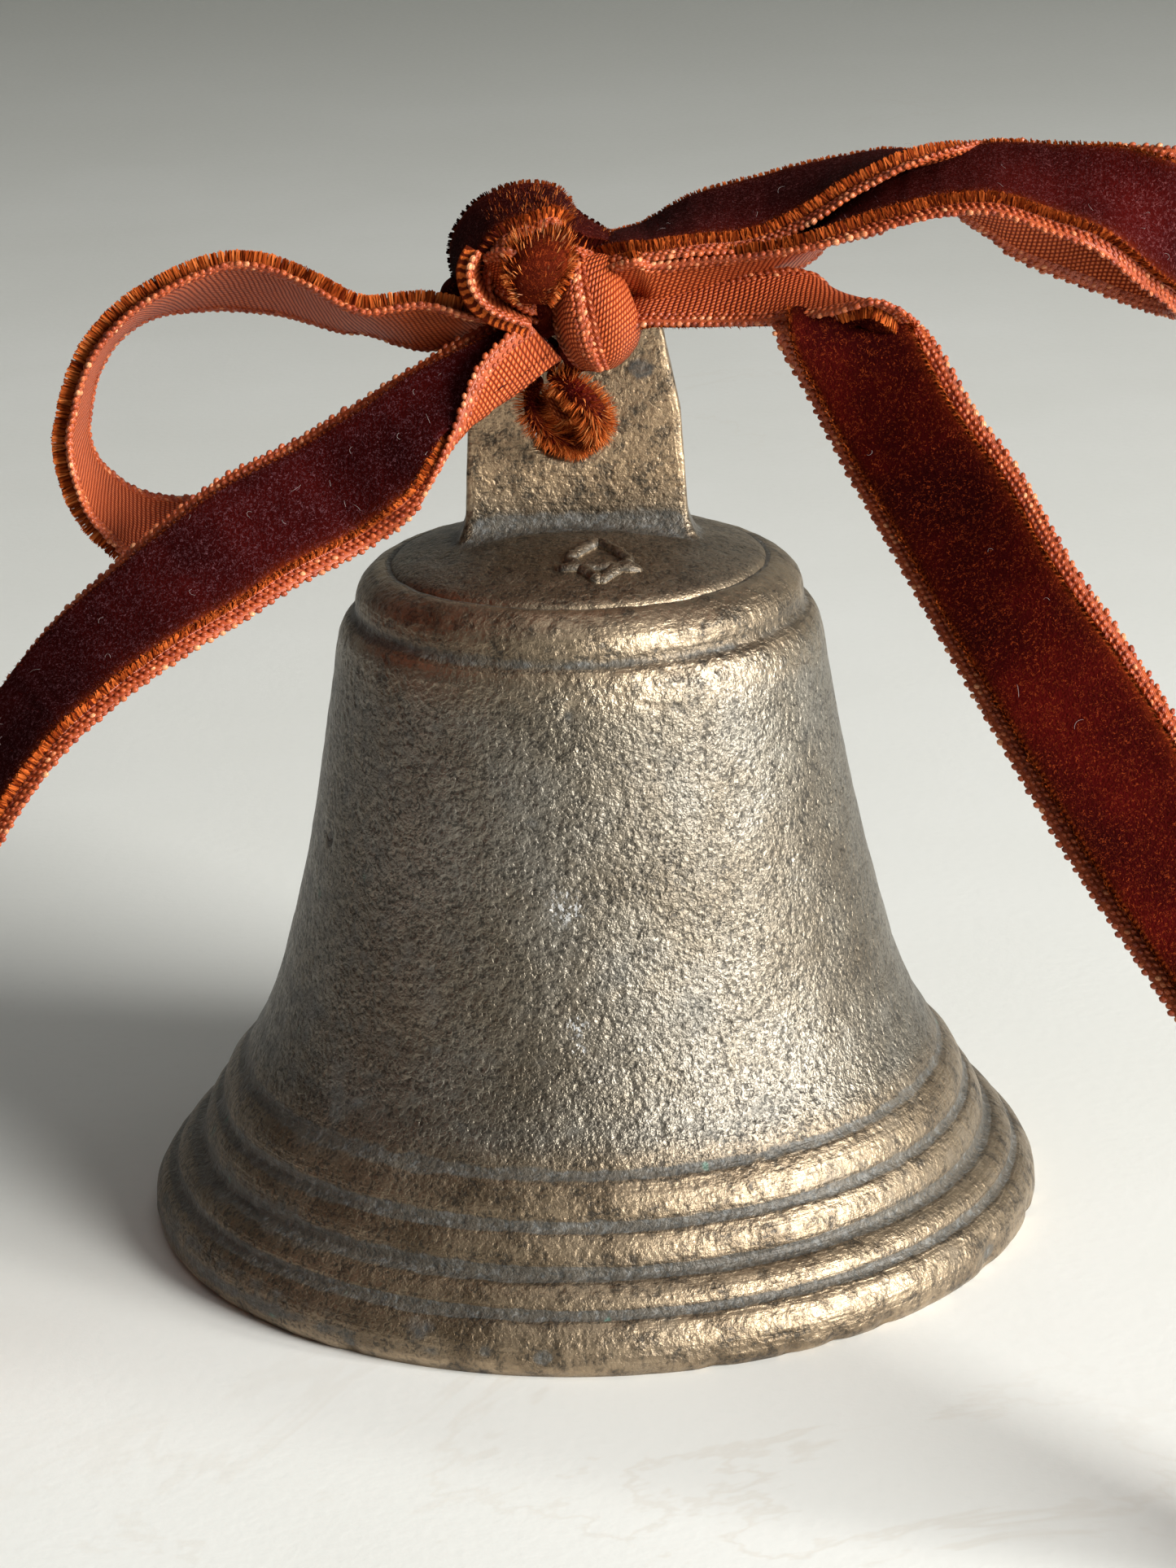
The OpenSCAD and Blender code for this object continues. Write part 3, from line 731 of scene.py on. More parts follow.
# ---------------------------------------------------------------- ribbon runs
# Each run: the station where the pile faces the given way, that way, and its
# stations in mm. A station holds points across the ribbon, one edge to the other.
RUNS = {
    "left_loop": (8, (0, 0, 1), [
        [(-3.2, -8.6, 70.4), (-3.2, -5.2, 69)], [(-6.7, -10.7, 71.1), (-7, -1.3, 67.9)], [(-10.2, -10.3, 72.1), (-10.4, -1.7, 67)],
        [(-12.4, -10.5, 72), (-12.7, -1.6, 67.5)], [(-14.4, -10.7, 71.7), (-14.9, -1.3, 68.2)], [(-16, -10.6, 72.2), (-16.7, -1.4, 68.4)],
        [(-17.9, -10.5, 73.4), (-18.7, -1.5, 69.1)], [(-20.1, -9.4, 74.3), (-21.1, -0.6, 69.6)], [(-21.8, -9.3, 74.9), (-23, -0.7, 69.9)],
        [(-23.7, -9.3, 75.1), (-24.9, -0.7, 70.1)], [(-26.3, -9.5, 74.5), (-27.3, -0.5, 70.1)], [(-29.1, -9.7, 73.2), (-29.5, -0.3, 69.9)],
        [(-31.4, -9.8, 71.6), (-31.5, -0.2, 69.1)], [(-33.5, -9.9, 69.4), (-33.4, -0.1, 67.6)], [(-34.7, -9.9, 67.2), (-34.7, -0.1, 65.5)],
        [(-35.4, -9.9, 64.9), (-35.2, -0, 63.5)], [(-35.8, -10, 62.7), (-35.5, -0, 61.4)], [(-35.5, -10, 60), (-35.1, -0, 59.6)],
        [(-34.9, -9, 57.4), (-34.1, 1, 57.9)], [(-33.4, -7.9, 55), (-32.5, 1.9, 56.5)], [(-32.2, -6.8, 53.6), (-30.6, 2.8, 55.7)],
        [(-28.4, -5.8, 53.4), (-27.2, 3.9, 55.5)], [(-24.2, -5.8, 55.1), (-22.9, 3.9, 57.3)], [(-19.3, -5.9, 58.1), (-18.5, 3.9, 59.9)],
        [(-15.1, -6.4, 60.5), (-14.2, 3.4, 62.4)], [(-10.2, -7, 64.1), (-9.8, 3, 64.8)], [(-3.5, -7.5, 68.2), (-3.5, -3.5, 67.6)],
    ]),
    "left_tail": (10, (0, -1, 0.4), [
        [(-4.3, -7.5, 69.9), (-0.3, -10.2, 67.5), (-3, -11.2, 70.9)], [(-6.2, -8, 69.9), (-1.8, -10.8, 66.5), (-5.1, -12.2, 69.6)],
        [(-7.7, -8.3, 69.3), (-3.6, -11.6, 65.5), (-6.5, -13, 68.2)], [(-9.1, -8.5, 68.5), (-5.5, -12.6, 64.4), (-7.4, -13.8, 66.5)],
        [(-11, -8.8, 67.4), (-7.3, -13.8, 63.4), (-8.1, -14.6, 64.7)], [(-12.4, -9.2, 66.7), (-8.6, -14.8, 62.2), (-8.8, -15.2, 63.1)],
        [(-14.7, -9.8, 65.4), (-10.3, -15.6, 59.8), (-10.4, -15.8, 60.1)], [(-17, -9.9, 64.1), (-14.3, -13, 61.2), (-11.7, -16.1, 58.3)],
        [(-20.1, -10.2, 62.4), (-17.3, -13, 59.3), (-14.6, -15.8, 56.2)], [(-22.6, -11.4, 61.5), (-19.5, -14, 58.4), (-16.5, -16.6, 55.4)],
        [(-25.2, -12.2, 60.3), (-22.3, -15, 57.3), (-19.4, -17.8, 54.3)], [(-29, -14, 58), (-26.2, -17, 55.2), (-23.4, -20, 52.3)],
        [(-33, -15.4, 54.8), (-30.2, -19, 52.6), (-27.5, -22.6, 50.5)], [(-37.4, -17, 51.1), (-34.8, -21, 49.4), (-32.2, -25, 47.8)],
        [(-40.9, -18.7, 46.9), (-38.5, -23, 45.8), (-36.1, -27.2, 44.7)], [(-46, -21, 40), (-43.5, -25, 39), (-41, -29, 38)],
        [(-52, -24, 29), (-49.5, -28, 28.5), (-47, -32, 28)], [(-57, -27, 17), (-54.5, -31, 17), (-52, -35, 17)],
        [(-61, -29.5, 7.5), (-59, -33.5, 7.5), (-57, -37.5, 7.5)], [(-64.5, -31.5, 2.2), (-63, -35.8, 2.2), (-61.5, -40, 2.2)],
        [(-69.5, -33.5, 1), (-68.5, -38.1, 1), (-67.5, -42.8, 1)], [(-75.5, -36, 0.7), (-74.8, -40.7, 0.7), (-74, -45.4, 0.7)],
    ]),
    "right_loop": (3, (0, -0.4, 1), [
        [(1, -8, 73.8), (1, -4.5, 73.8)], [(3.4, -10, 74.8), (3.4, -3, 74.6)], [(6, -11, 75), (5.9, -1, 75)], [(9, -10.9, 75.2), (9.2, -1.1, 77)],
        [(11.7, -10.8, 75.3), (12.1, -1.2, 78)], [(13.6, -10.8, 75.7), (14.2, -1.2, 78.5)], [(15.6, -10.8, 76.5), (16, -1.1, 78.9)],
        [(17.7, -10.9, 77.7), (18.6, -1.1, 79.3)], [(19.8, -11, 79.1), (20.9, -1, 79.5)], [(21.5, -10.9, 80), (23, -1.1, 79.7)],
        [(23.2, -10.9, 80.8), (24.7, -1.1, 79.3)], [(25.1, -10.2, 81.4), (26.3, -0.8, 78)], [(27.3, -9, 81.9), (27.9, -1.1, 75.8)],
        [(29.7, -6.6, 81.8), (30.3, -0.5, 73.9)], [(32.1, -4, 81.4), (32.5, -0, 72.2)], [(35.1, -2.3, 80.4), (35.5, 0.3, 70.8)],
        [(38.8, -1.1, 79), (39, 1.1, 69.2)], [(41.8, -1.5, 77.9), (41.5, 0.5, 68.2)], [(44.3, -4.3, 77.8), (43, -1.7, 68.2)],
        [(46.3, -7.5, 78.7), (43.2, -6.5, 69.2)], [(45.7, -9.4, 80.6), (42, -12.6, 70.9)], [(42.3, -11.2, 81.8), (39.8, -14.8, 72.8)],
        [(39.1, -9.2, 81.7), (36.3, -16.8, 75.8)], [(34.5, -7.5, 81.5), (32.9, -16.5, 77.3)], [(30.6, -6.3, 81.3), (29.4, -15.7, 78.4)],
        [(26.7, -5.1, 80.4), (25.8, -14.9, 78.3)], [(23.9, -4.6, 79.2), (22.7, -14.4, 77.6)], [(21.5, -4, 77.7), (20.4, -14, 76.9)],
        [(19.5, -4, 75.9), (18.5, -14, 76.4)], [(17.6, -4.2, 73.5), (16.5, -13.8, 76)], [(14.8, -5.1, 72.3), (14, -12.9, 75.5)],
        [(11.8, -6.1, 71.2), (11.3, -11.9, 75.2)], [(8.6, -7.1, 70.1), (8.5, -11, 74.9)], [(5.6, -7.3, 69.8), (5.7, -10.7, 74.7)],
        [(5, -4.6, 69.6), (4.6, -12, 75.2)], [(2, -5, 69.8), (2, -9.5, 74)],
    ]),
    "right_tail": (12, (0, -1, 0.3), [
        [(1.5, -5, 70), (1.5, -9, 69)], [(4.9, -7.1, 72.8), (4.7, -10.1, 70.4)], [(7.4, -7.7, 73), (7.3, -10.7, 70.5)],
        [(10.3, -8.4, 73.4), (10.4, -11.6, 70.6)], [(13.2, -8.9, 73.7), (13.2, -13.1, 70.9)], [(15.7, -8.9, 73.8), (15.9, -15.1, 71.6)],
        [(17.5, -8.8, 73.2), (18.7, -17.2, 72.6)], [(18, -8.7, 72.1), (20.8, -18.3, 73.3)], [(16.7, -9.9, 71.3), (22.4, -18.1, 72.7)],
        [(14.9, -11.8, 70.8), (23.3, -17.2, 71.9)], [(14.1, -15, 70.6), (24.1, -15, 70.7)], [(14.7, -14.8, 69.2), (24.5, -16.2, 70.3)],
        [(16.1, -15.1, 66.7), (25.2, -17.9, 69.6)], [(18.8, -18.7, 61.6), (27.2, -21.3, 66.3)], [(21.2, -24, 57.8), (29.9, -25, 62.7)],
        [(23.9, -30.4, 53.5), (32.5, -31.6, 58.4)], [(27.9, -39.8, 47.2), (37.1, -38.2, 51.9)], [(31.9, -46.7, 41), (41.2, -45.3, 45.5)],
        [(37.3, -54.5, 33.5), (46.6, -53.5, 36.5)], [(40.5, -59.5, 26.5), (49.8, -58.3, 29)], [(43.5, -63.8, 18.8), (52.6, -62.6, 21.4)],
        [(46.5, -67.8, 10.8), (55.5, -66.5, 13)], [(49.5, -71.8, 4.2), (58.5, -70.5, 5.4)], [(53, -75.5, 1.6), (61.8, -73.2, 1.8)],
        [(57, -79.5, 0.8), (65.2, -76, 0.9)], [(61.2, -83.6, 0.7), (68.2, -79.6, 0.7)],
    ]),
    "wrap": (3, (0, 1, 0), [
        [(0.9, -6, 74.1), (1.9, -6.2, 74.9), (2.8, -5.8, 75), (3, -3.5, 74.3)],
        [(0.2, -9.6, 74.9), (1.6, -10, 75.2), (3.2, -8.6, 75.1), (3.3, -4, 73.8)],
        [(0.4, -11, 73.5), (2.1, -11.8, 74), (3.7, -9.8, 73.9), (3.7, -4.5, 72.6)],
        [(0.8, -11.4, 71.4), (2.6, -12.4, 72.1), (4.4, -10, 72.2), (4.2, -4.5, 70.7)],
        [(1.1, -11.2, 69.4), (3.1, -12, 70), (5, -9.6, 70.3), (4.8, -4.5, 69)],
        [(1.5, -10.2, 67.6), (3.2, -10.6, 68), (4.8, -8.4, 68.7), (4.6, -4.2, 67.7)],
        [(1.8, -8, 66.5), (3, -7.6, 66.6), (4.2, -6, 67.2), (4, -4, 67.1)],
    ]),
    "wrap_edge": (2, (0, 1, 0), [
        [(-0.1, -7.6, 74.6), (0.1, -9.6, 75.2), (0.4, -10.8, 75.1)], [(-0.9, -8.6, 73.3), (-0.3, -11.6, 74.1), (0.6, -12.2, 73.6)],
        [(-1.3, -8.8, 71.1), (-0.5, -12.4, 72), (0.9, -12.8, 71.6)], [(-1.1, -8.8, 69.3), (-0.2, -12.2, 70.1), (1.2, -12.4, 69.6)],
        [(-0.4, -8.8, 67.8), (0.5, -11, 68.3), (1.6, -11.2, 67.8)], [(0.5, -8, 66.6), (1, -9, 66.8), (2, -9.2, 66.7)],
    ]),
    "ear": (4, (-1, 0, 0.3), [
        [(-2.3, -9.6, 70.7), (-3.6, -3, 71.8)], [(-3.9, -10, 71.2), (-5.6, -2.6, 71.7)], [(-5.1, -10, 72), (-7, -2.2, 72.4)],
        [(-5.6, -10, 73.2), (-7.6, -2, 73.5)], [(-5.5, -10, 74.3), (-7.7, -2, 74.8)], [(-5.1, -10, 75.3), (-7.3, -2, 76)],
        [(-4.6, -10, 76.1), (-6.3, -2, 77.2)], [(-3.6, -9.8, 76.6), (-5, -2, 77.9)], [(-2.6, -9.6, 76.8), (-3.6, -2.2, 78.3)],
        [(-1.8, -9.3, 77.1), (-2.2, -2.4, 78.3)], [(-1.1, -8.8, 77.3), (-1.1, -2.8, 77.9)], [(-0.6, -8.2, 76.8), (-0.7, -3.4, 76.9)],
    ]),
    "swirl_outer": (3, (-0.5, 1, -0.5), [
        [(-6.2, -11.2, 76), (-5.7, -7.4, 74.5)], [(-6.8, -11.9, 75.2), (-6, -8, 74.1)], [(-6.9, -12.2, 74.3), (-5.9, -8.4, 73.5)],
        [(-6.5, -12.4, 73.2), (-5.5, -8.6, 72.8)], [(-5.6, -12.4, 72.2), (-4.9, -8.8, 72.3)], [(-4.3, -12.2, 71.5), (-3.9, -8.8, 71.8)],
        [(-2.8, -11.8, 70.9), (-2.8, -8.6, 71.1)],
    ]),
    "swirl_inner": (2, (0, 1, 0), [
        [(-6.1, -10.2, 75.3), (-5.9, -8.6, 73.1)], [(-5.3, -11.3, 76), (-5.2, -9.6, 72.6)], [(-4.4, -12, 76.2), (-4.2, -10.6, 72.1)],
        [(-3.4, -11.8, 75.7), (-3.2, -10.8, 71.6)], [(-2.5, -10.8, 74.5), (-2.4, -10.4, 71.2)],
    ]),
    "lap": (2, (0, -1, 0.2), [
        [(13, -6, 74.1), (13.2, -5.2, 75.1)], [(15, -6.2, 74.3), (15.4, -4.6, 76.2)], [(17.5, -6.4, 74.7), (18, -4.2, 77.3)],
        [(20, -6.6, 75.2), (20.8, -4, 78.7)], [(22.6, -6.6, 75.8), (23.6, -4, 80)],
    ]),
    "front_tuft": (1, (0, 0, 1), [
        [(-0.5, -6.8, 75.3), (-1.8, -7.2, 75.6), (-3.3, -6.8, 75)], [(-0.3, -9.4, 75.4), (-1.9, -11.4, 75.9), (-3.7, -9.6, 75.1)],
        [(-0.6, -10.6, 74.9), (-2.2, -12.4, 75.3), (-3.9, -10.8, 74.6)], [(-1.2, -11, 74.3), (-2.4, -12.6, 74.6), (-3.6, -11.2, 74.2)],
        [(-1.8, -11.2, 73.7), (-2.6, -12.4, 74.1), (-3.2, -11.2, 73.8)], [(-2.2, -10.8, 73.1), (-2.6, -11.4, 73.3), (-2.9, -10.8, 73.2)],
    ]),
    "top_fold": (2, (0, -0.5, 1), [
        [(-0.9, -3.4, 75.8), (-0.8, -9.4, 75.9)], [(-0.3, -2.8, 76.3), (0, -9.6, 75.6)], [(0.5, -2.6, 75.9), (0.9, -9.4, 75.1)],
        [(1.5, -2.6, 75.2), (2.1, -8.8, 74.8)], [(2.7, -2.8, 74.3), (3.2, -7.6, 74.3)], [(3.7, -3.4, 73.7), (4.2, -6.8, 73.9)],
    ]),
    "back_strap": (3, (0, 1, 0), [
        [(-2.3, -0.6, 60.6), (-0.5, -0.8, 59.4), (1.3, -0.6, 60.6)], [(-2.4, 1.2, 60.8), (-0.5, 1.5, 59.6), (1.4, 1.2, 60.8)],
        [(-3, 2.6, 62.6), (-0.5, 3.1, 61.6), (2, 2.6, 62.6)], [(-4.2, 2.7, 66), (-0.5, 3.4, 65.6), (3.2, 2.7, 66)],
        [(-4.5, 2.2, 69.4), (-0.5, 2.8, 69.8), (3.5, 2.2, 69.4)], [(-4.4, 0.4, 71.6), (-0.5, 0.6, 72.4), (3.4, 0.4, 71.6)],
        [(-4, -2.6, 72.2), (-0.5, -2.8, 73.2), (3, -2.6, 72.2)], [(-2.5, -5.6, 71.4), (-0.5, -5.8, 72.2), (1.5, -5.6, 71.4)],
    ]),
}


# ---------------------------------------------------------------- ribbon materials
def weave(k, uv):
    """Rows of short slanted threads across the ribbon: (height, per-thread random)."""
    sep = k.n("ShaderNodeSeparateXYZ")
    k.put(sep.inputs[0], uv)
    s, w = sep.outputs[0], sep.outputs[1]
    warp = k.n("ShaderNodeTexNoise")
    k.put(warp.inputs["Vector"], uv)
    warp.inputs["Scale"].default_value = 0.5
    s = k.math("ADD", s, k.math("MULTIPLY", w, 0.24))
    s = k.math("ADD", s, k.math("MULTIPLY", warp.outputs[0], 0.25))
    a = k.math("DIVIDE", s, 0.38)
    row = k.math("FLOOR", a)
    fa = k.math("FRACT", a)
    b = k.math("ADD", k.math("DIVIDE", w, 0.34), k.math("MULTIPLY", row, 0.5))
    b = k.math("ADD", b, k.math("MULTIPLY", fa, 0.35))
    col = k.math("FLOOR", b)
    fb = k.math("FRACT", b)
    ha = k.math("SINE", k.math("MULTIPLY", fa, math.pi))
    hb = k.math("SINE", k.math("MULTIPLY", fb, math.pi))
    h = k.math("MULTIPLY", k.math("POWER", ha, 0.6), k.math("ADD", 0.22, k.math("MULTIPLY", k.math("POWER", hb, 0.8), 0.78)))
    comb = k.n("ShaderNodeCombineXYZ")
    k.put(comb.inputs[0], row)
    k.put(comb.inputs[1], col)
    white = k.n("ShaderNodeTexWhiteNoise", noise_dimensions="2D")
    k.put(white.inputs["Vector"], comb.outputs[0])
    return h, white.outputs["Value"]


def satin_material():
    k = Mat("satin_back")
    uv = k.attr("uvmm", "Vector")
    h, rnd = weave(k, uv)
    v = k.coords()
    cloud = k.noise(v, 320.0, 3.0, 0.55)
    # painted shade and highlight: the colour follows the weave's height, dark between the threads and bright on their
    # tops
    col = k.ramp(h, [(0.05, (0.070, 0.0055, 0.0010)), (0.40, (0.265, 0.032, 0.0055)), (0.80, (0.520, 0.094, 0.020)), (1.0, (0.780, 0.215, 0.070))])
    col = k.mix(k.math("MULTIPLY", rnd, 0.30), col, (0.270, 0.032, 0.006))
    col = k.mix(k.step(cloud, 0.45, 0.75, 0.0, 0.30), col, (0.380, 0.060, 0.013))
    k.set(Base_Color=col, Roughness=k.step(h, 0.2, 0.9, 0.62, 0.42), Normal=k.bump(h, 0.00016, 0.9))
    k.p.inputs["Specular IOR Level"].default_value = 0.20
    k.p.inputs["Sheen Weight"].default_value = 0.02
    k.p.inputs["Sheen Roughness"].default_value = 0.45
    k.p.inputs["Sheen Tint"].default_value = (1.0, 0.40, 0.20, 1.0)
    return k.m


def selvedge_material():
    k = Mat("satin_selvedge")
    tint = k.attr("tint")
    uv = k.attr("uvmm", "Vector")
    sep = k.n("ShaderNodeSeparateXYZ")
    k.put(sep.inputs[0], uv)
    strand = k.math("SINE", k.math("MULTIPLY", k.math("ADD", sep.outputs[0], k.math("MULTIPLY", sep.outputs[1], 0.8)), 42.0))
    col = k.ramp(tint, [(0.0, (0.215, 0.026, 0.005)), (0.35, (0.330, 0.050, 0.011)), (0.75, (0.490, 0.100, 0.026)), (1.0, (0.800, 0.330, 0.150))])
    # painted shade: darker in the troughs between the twisted strands
    col = k.mix(k.step(strand, 0.2, -0.9, 0.0, 0.35), col, (0.200, 0.040, 0.016))
    k.set(Base_Color=col, Roughness=k.step(tint, 0.0, 1.0, 0.48, 0.34), Normal=k.bump(strand, 0.00002, 0.5))
    k.p.inputs["Specular IOR Level"].default_value = 0.48
    return k.m


def velvet_material():
    """The pile's own surface, seen between the fibres that stand on it."""
    k = Mat("velvet_pile")
    v = k.coords()
    uv = k.attr("uvmm", "Vector")
    edge = k.attr("edge")
    side = k.attr("side")
    fine = k.noise(v, 6200.0, 2.0, 0.7)
    mid = k.noise(v, 900.0, 3.0, 0.6)
    nap = k.noise(v, 95.0, 3.0, 0.5)
    curl = k.math("ABSOLUTE", k.math("SUBTRACT", k.noise(v, 2300.0, 1.0, 0.5, 2.2), 0.5))
    curl = k.math("MULTIPLY", k.step(curl, 0.010, 0.045, 1.0, 0.0), k.step(k.noise(v, 3600.0, 1.0, 0.5), 0.44, 0.60))
    col = k.mix(k.step(nap, 0.36, 0.66), (0.018, 0.0006, 0.0007), (0.058, 0.0022, 0.0014))
    # painted reflection and sheen: where tone is high the pile is darker and gets grey-pink specks and curls, the sky
    # caught on fibre tips; where it is low it gets orange flecks of grazing light
    tone = k.attr("tone")
    col = k.mix(k.math("MULTIPLY", tone, 0.45), col, (0.012, 0.0004, 0.0006))
    col = k.mix(k.math("MULTIPLY", k.math("MAXIMUM", k.step(fine, 0.56, 0.74, 0.0, 0.45), k.math("MULTIPLY", curl, 0.95)), tone), col, (0.100, 0.038, 0.045))
    col = k.mix(k.math("MULTIPLY", k.math("MULTIPLY", curl, 0.8), k.math("SUBTRACT", 1.0, tone)), col, (0.230, 0.034, 0.008))
    # the pile glows orange towards its edges, where light comes through it
    glow = k.math("POWER", edge, 1.6)
    glow = k.math("MULTIPLY", glow, k.step(mid, 0.25, 0.7, 0.55, 1.0))
    col = k.mix(k.math("MULTIPLY", glow, 0.80), col, (0.300, 0.040, 0.006))
    # tufts down the side: dark and orange stripes, painted light on the tufts and painted shade in the gaps between
    # them
    sep = k.n("ShaderNodeSeparateXYZ")
    k.put(sep.inputs[0], uv)
    wob = k.n("ShaderNodeTexNoise")
    k.put(wob.inputs["Vector"], uv)
    wob.inputs["Scale"].default_value = 1.1
    stripe = k.math("SINE", k.math("MULTIPLY", k.math("ADD", sep.outputs[0], k.math("MULTIPLY", wob.outputs[0], 0.8)), 2 * math.pi / 0.44))
    tuft = k.mix(k.step(stripe, -0.35, 0.55), (0.080, 0.010, 0.003), (0.520, 0.105, 0.020))
    col = k.mix(side, col, tuft)
    k.set(Base_Color=col, Roughness=k.step(fine, 0.3, 0.7, 0.95, 0.70))
    k.set(Normal=k.bump(k.math("ADD", fine, k.math("MULTIPLY", mid, 0.6)), 0.00018, 0.8))
    k.p.inputs["Specular IOR Level"].default_value = 0.03
    k.p.inputs["Sheen Weight"].default_value = 0.015
    k.p.inputs["Sheen Roughness"].default_value = 0.40
    k.p.inputs["Sheen Tint"].default_value = (1.0, 0.16, 0.04, 1.0)
    return k.m


def fibre_material():
    k = Mat("velvet_fibres")
    tint = k.attr("tint")
    edge = k.attr("edge")
    tip = k.attr("tip")
    # the grey-pink top stops are painted reflections on fibre tips
    core = k.ramp(tint, [(0.0, (0.010, 0.0004, 0.0004)), (0.55, (0.036, 0.0014, 0.0009)), (0.84, (0.062, 0.0030, 0.0014)), (0.90, (0.078, 0.020, 0.022)), (1.0, (0.180, 0.105, 0.120))])
    # painted glow: the edge value mixes fibres towards these orange rim colours, standing in for light through the
    # pile's edges
    rim = k.ramp(tint, [(0.0, (0.110, 0.012, 0.002)), (0.35, (0.380, 0.062, 0.009)), (0.75, (0.740, 0.165, 0.032)), (1.0, (0.900, 0.330, 0.100))])
    col = k.mix(edge, core, rim)
    # painted shade: fibres darker towards their roots, down in the pile
    col = k.mix(k.math("MULTIPLY", k.math("SUBTRACT", 1.0, tip), 0.55), col, (0.040, 0.005, 0.003))
    k.set(Base_Color=col, Roughness=k.step(tint, 0.0, 1.0, 0.70, 0.45))
    k.p.inputs["Specular IOR Level"].default_value = 0.02
    return k.m


# ---------------------------------------------------------------- ribbon shape
WIDTH = 10.0
STEP = 0.34
ACROSS = 41
# pile side of the section: place across (of 10 mm), height, how much it is pile edge, is it the side wall
HALF_TOP = [(0.00, 0.28, 0, 0), (0.40, 0.31, 0, 0), (0.90, 0.30, 0, 0),
            (1.02, 0.42, 1, 1), (0.98, 0.72, 1, 1), (0.95, 1.00, 1, 1), (1.04, 1.14, 1, 0.6),
            (1.26, 1.22, 0.75, 0), (1.60, 1.25, 0.35, 0), (2.20, 1.26, 0.10, 0), (3.00, 1.26, 0.0, 0), (4.20, 1.26, 0, 0)]
BACK = [(0.00, 0.00), (0.30, -0.05), (0.70, -0.03), (0.95, 0.02), (1.6, 0), (2.6, 0), (3.8, 0), (5.0, 0),
        (6.2, 0), (7.4, 0), (8.4, 0), (9.05, 0.02), (9.3, -0.03), (9.7, -0.05), (10.0, 0.00)]


# how each run's pile looks: painted glow at the first and the other edge, how many cool specks it has (painted
# reflections; a run with few has warm flecks of painted sheen instead), how shaggy it stands where it is pinched in the
# knot
LOOK = {"left_loop": (0.75, 0.75, 0.3, 0.0), "left_tail": (0.20, 0.62, 1.0, 0.0), "right_loop": (0.50, 0.50, 0.8, 0.0),
        "right_tail": (0.30, 0.60, 0.0, 0.0), "ear": (0.7, 0.8, 0.7, 0.16), "front_tuft": (0.9, 0.9, 0.0, 1.0),
        "hang_upper": (1.0, 1.0, 0.0, 0.75), "hang_lower": (0.9, 0.9, 0.0, 0.65), "top_fold": (0.7, 0.7, 0.5, 0.15)}
# painted glow: places on the ear and top fold where the pile turns bright orange and its fibres grow longer
GLOW_AT = [(-2.4, -6.0, 78.0, 3.3), (3.2, -5.0, 75.0, 1.6)]


def look_of(run):
    return LOOK.get(run.name, (0.8, 0.8, 0.3, 0.0))


class Run:
    """One run of the ribbon: a grid of points and normals, along x across."""

    def __init__(self, name, ref, way, stations, s0):
        self.name = name
        count = max(len(s) for s in stations)
        dense = []
        for s in stations:
            p = np.asarray(s, float)
            dense.append(self.across(p, ACROSS))
        grid, self.length = spline(np.array(dense), step=STEP)
        # small random wander, so that no edge is a perfect spline
        wob = lumps(grid[:, ACROSS // 2] + s0, 4.0)
        T = np.gradient(grid, axis=0)
        W = np.gradient(grid, axis=1)
        N = np.cross(T, W)
        N /= np.maximum(np.linalg.norm(N, axis=2), 1e-9)[:, :, None]
        at_ring = int(round(ref / (len(stations) - 1) * (len(grid) - 1)))
        if N[at_ring, ACROSS // 2] @ np.array(way, float) < 0:
            N = -N
        for _ in range(3):
            N[1:-1] = (N[:-2] + 2 * N[1:-1] + N[2:]) / 4
        N /= np.maximum(np.linalg.norm(N, axis=2), 1e-9)[:, :, None]
        grid = grid + N * (0.10 * wob)[:, None, None]
        self.P, self.N = grid, N
        self.T = T / np.maximum(np.linalg.norm(T, axis=2), 1e-9)[:, :, None]
        wl = np.linalg.norm(np.diff(grid, axis=1), axis=2)
        self.wid = wl.sum(1)
        mid = grid[:, ACROSS // 2]
        self.s = s0 + np.concatenate([[0], np.cumsum(np.linalg.norm(np.diff(mid, axis=0), axis=1))])
        self.n = len(grid)

    @staticmethod
    def across(p, m):
        d = np.concatenate([[0], np.cumsum(np.linalg.norm(np.diff(p, axis=0), axis=1))])
        t = np.linspace(0, d[-1], m)
        q = np.stack([np.interp(t, d, p[:, c]) for c in range(3)], axis=1)
        if len(p) > 2:
            for _ in range(14):
                q[1:-1] += 0.5 * ((q[:-2] + q[2:]) / 2 - q[1:-1])
        return q

    def at(self, ring, w, h):
        """Points at ring (float array), w mm across of 10 and h mm off the back."""
        ring = np.clip(np.asarray(ring, float), 0, self.n - 1.001)
        c = np.clip(np.asarray(w, float) / WIDTH, -0.02, 1.02) * (ACROSS - 1)
        i = ring.astype(int)
        fi = (ring - i)[..., None]
        cc = np.clip(c, 0, ACROSS - 1.001)
        j = cc.astype(int)
        fj = (c - j)[..., None]

        def bil(g):
            return ((g[i, j] * (1 - fj) + g[i, j + 1] * fj) * (1 - fi)
                    + (g[i + 1, j] * (1 - fj) + g[i + 1, j + 1] * fj) * fi)
        n = bil(self.N)
        n /= np.maximum(np.linalg.norm(n, axis=-1), 1e-9)[..., None]
        return bil(self.P) + n * np.asarray(h, float)[..., None]

    def frame(self, ring, w):
        ring = np.clip(np.asarray(ring, float), 0, self.n - 1.001)
        c = np.clip(np.asarray(w, float) / WIDTH, 0, 1) * (ACROSS - 1)
        i, j = np.minimum(ring.astype(int), self.n - 2), np.minimum(c.astype(int), ACROSS - 2)
        T, N = self.T[i, j], self.N[i, j]
        W = np.cross(N, T)
        a = self.P[i, j + 1] - self.P[i, j]
        W *= np.sign((W * a).sum(-1))[..., None]
        return T, W, N


def build_runs():
    runs, s0 = [], 0.0
    for name, (ref, way, stations) in RUNS.items():
        runs.append(Run(name, ref, way, stations, s0))
        s0 += runs[-1].length + 3.0
    return runs


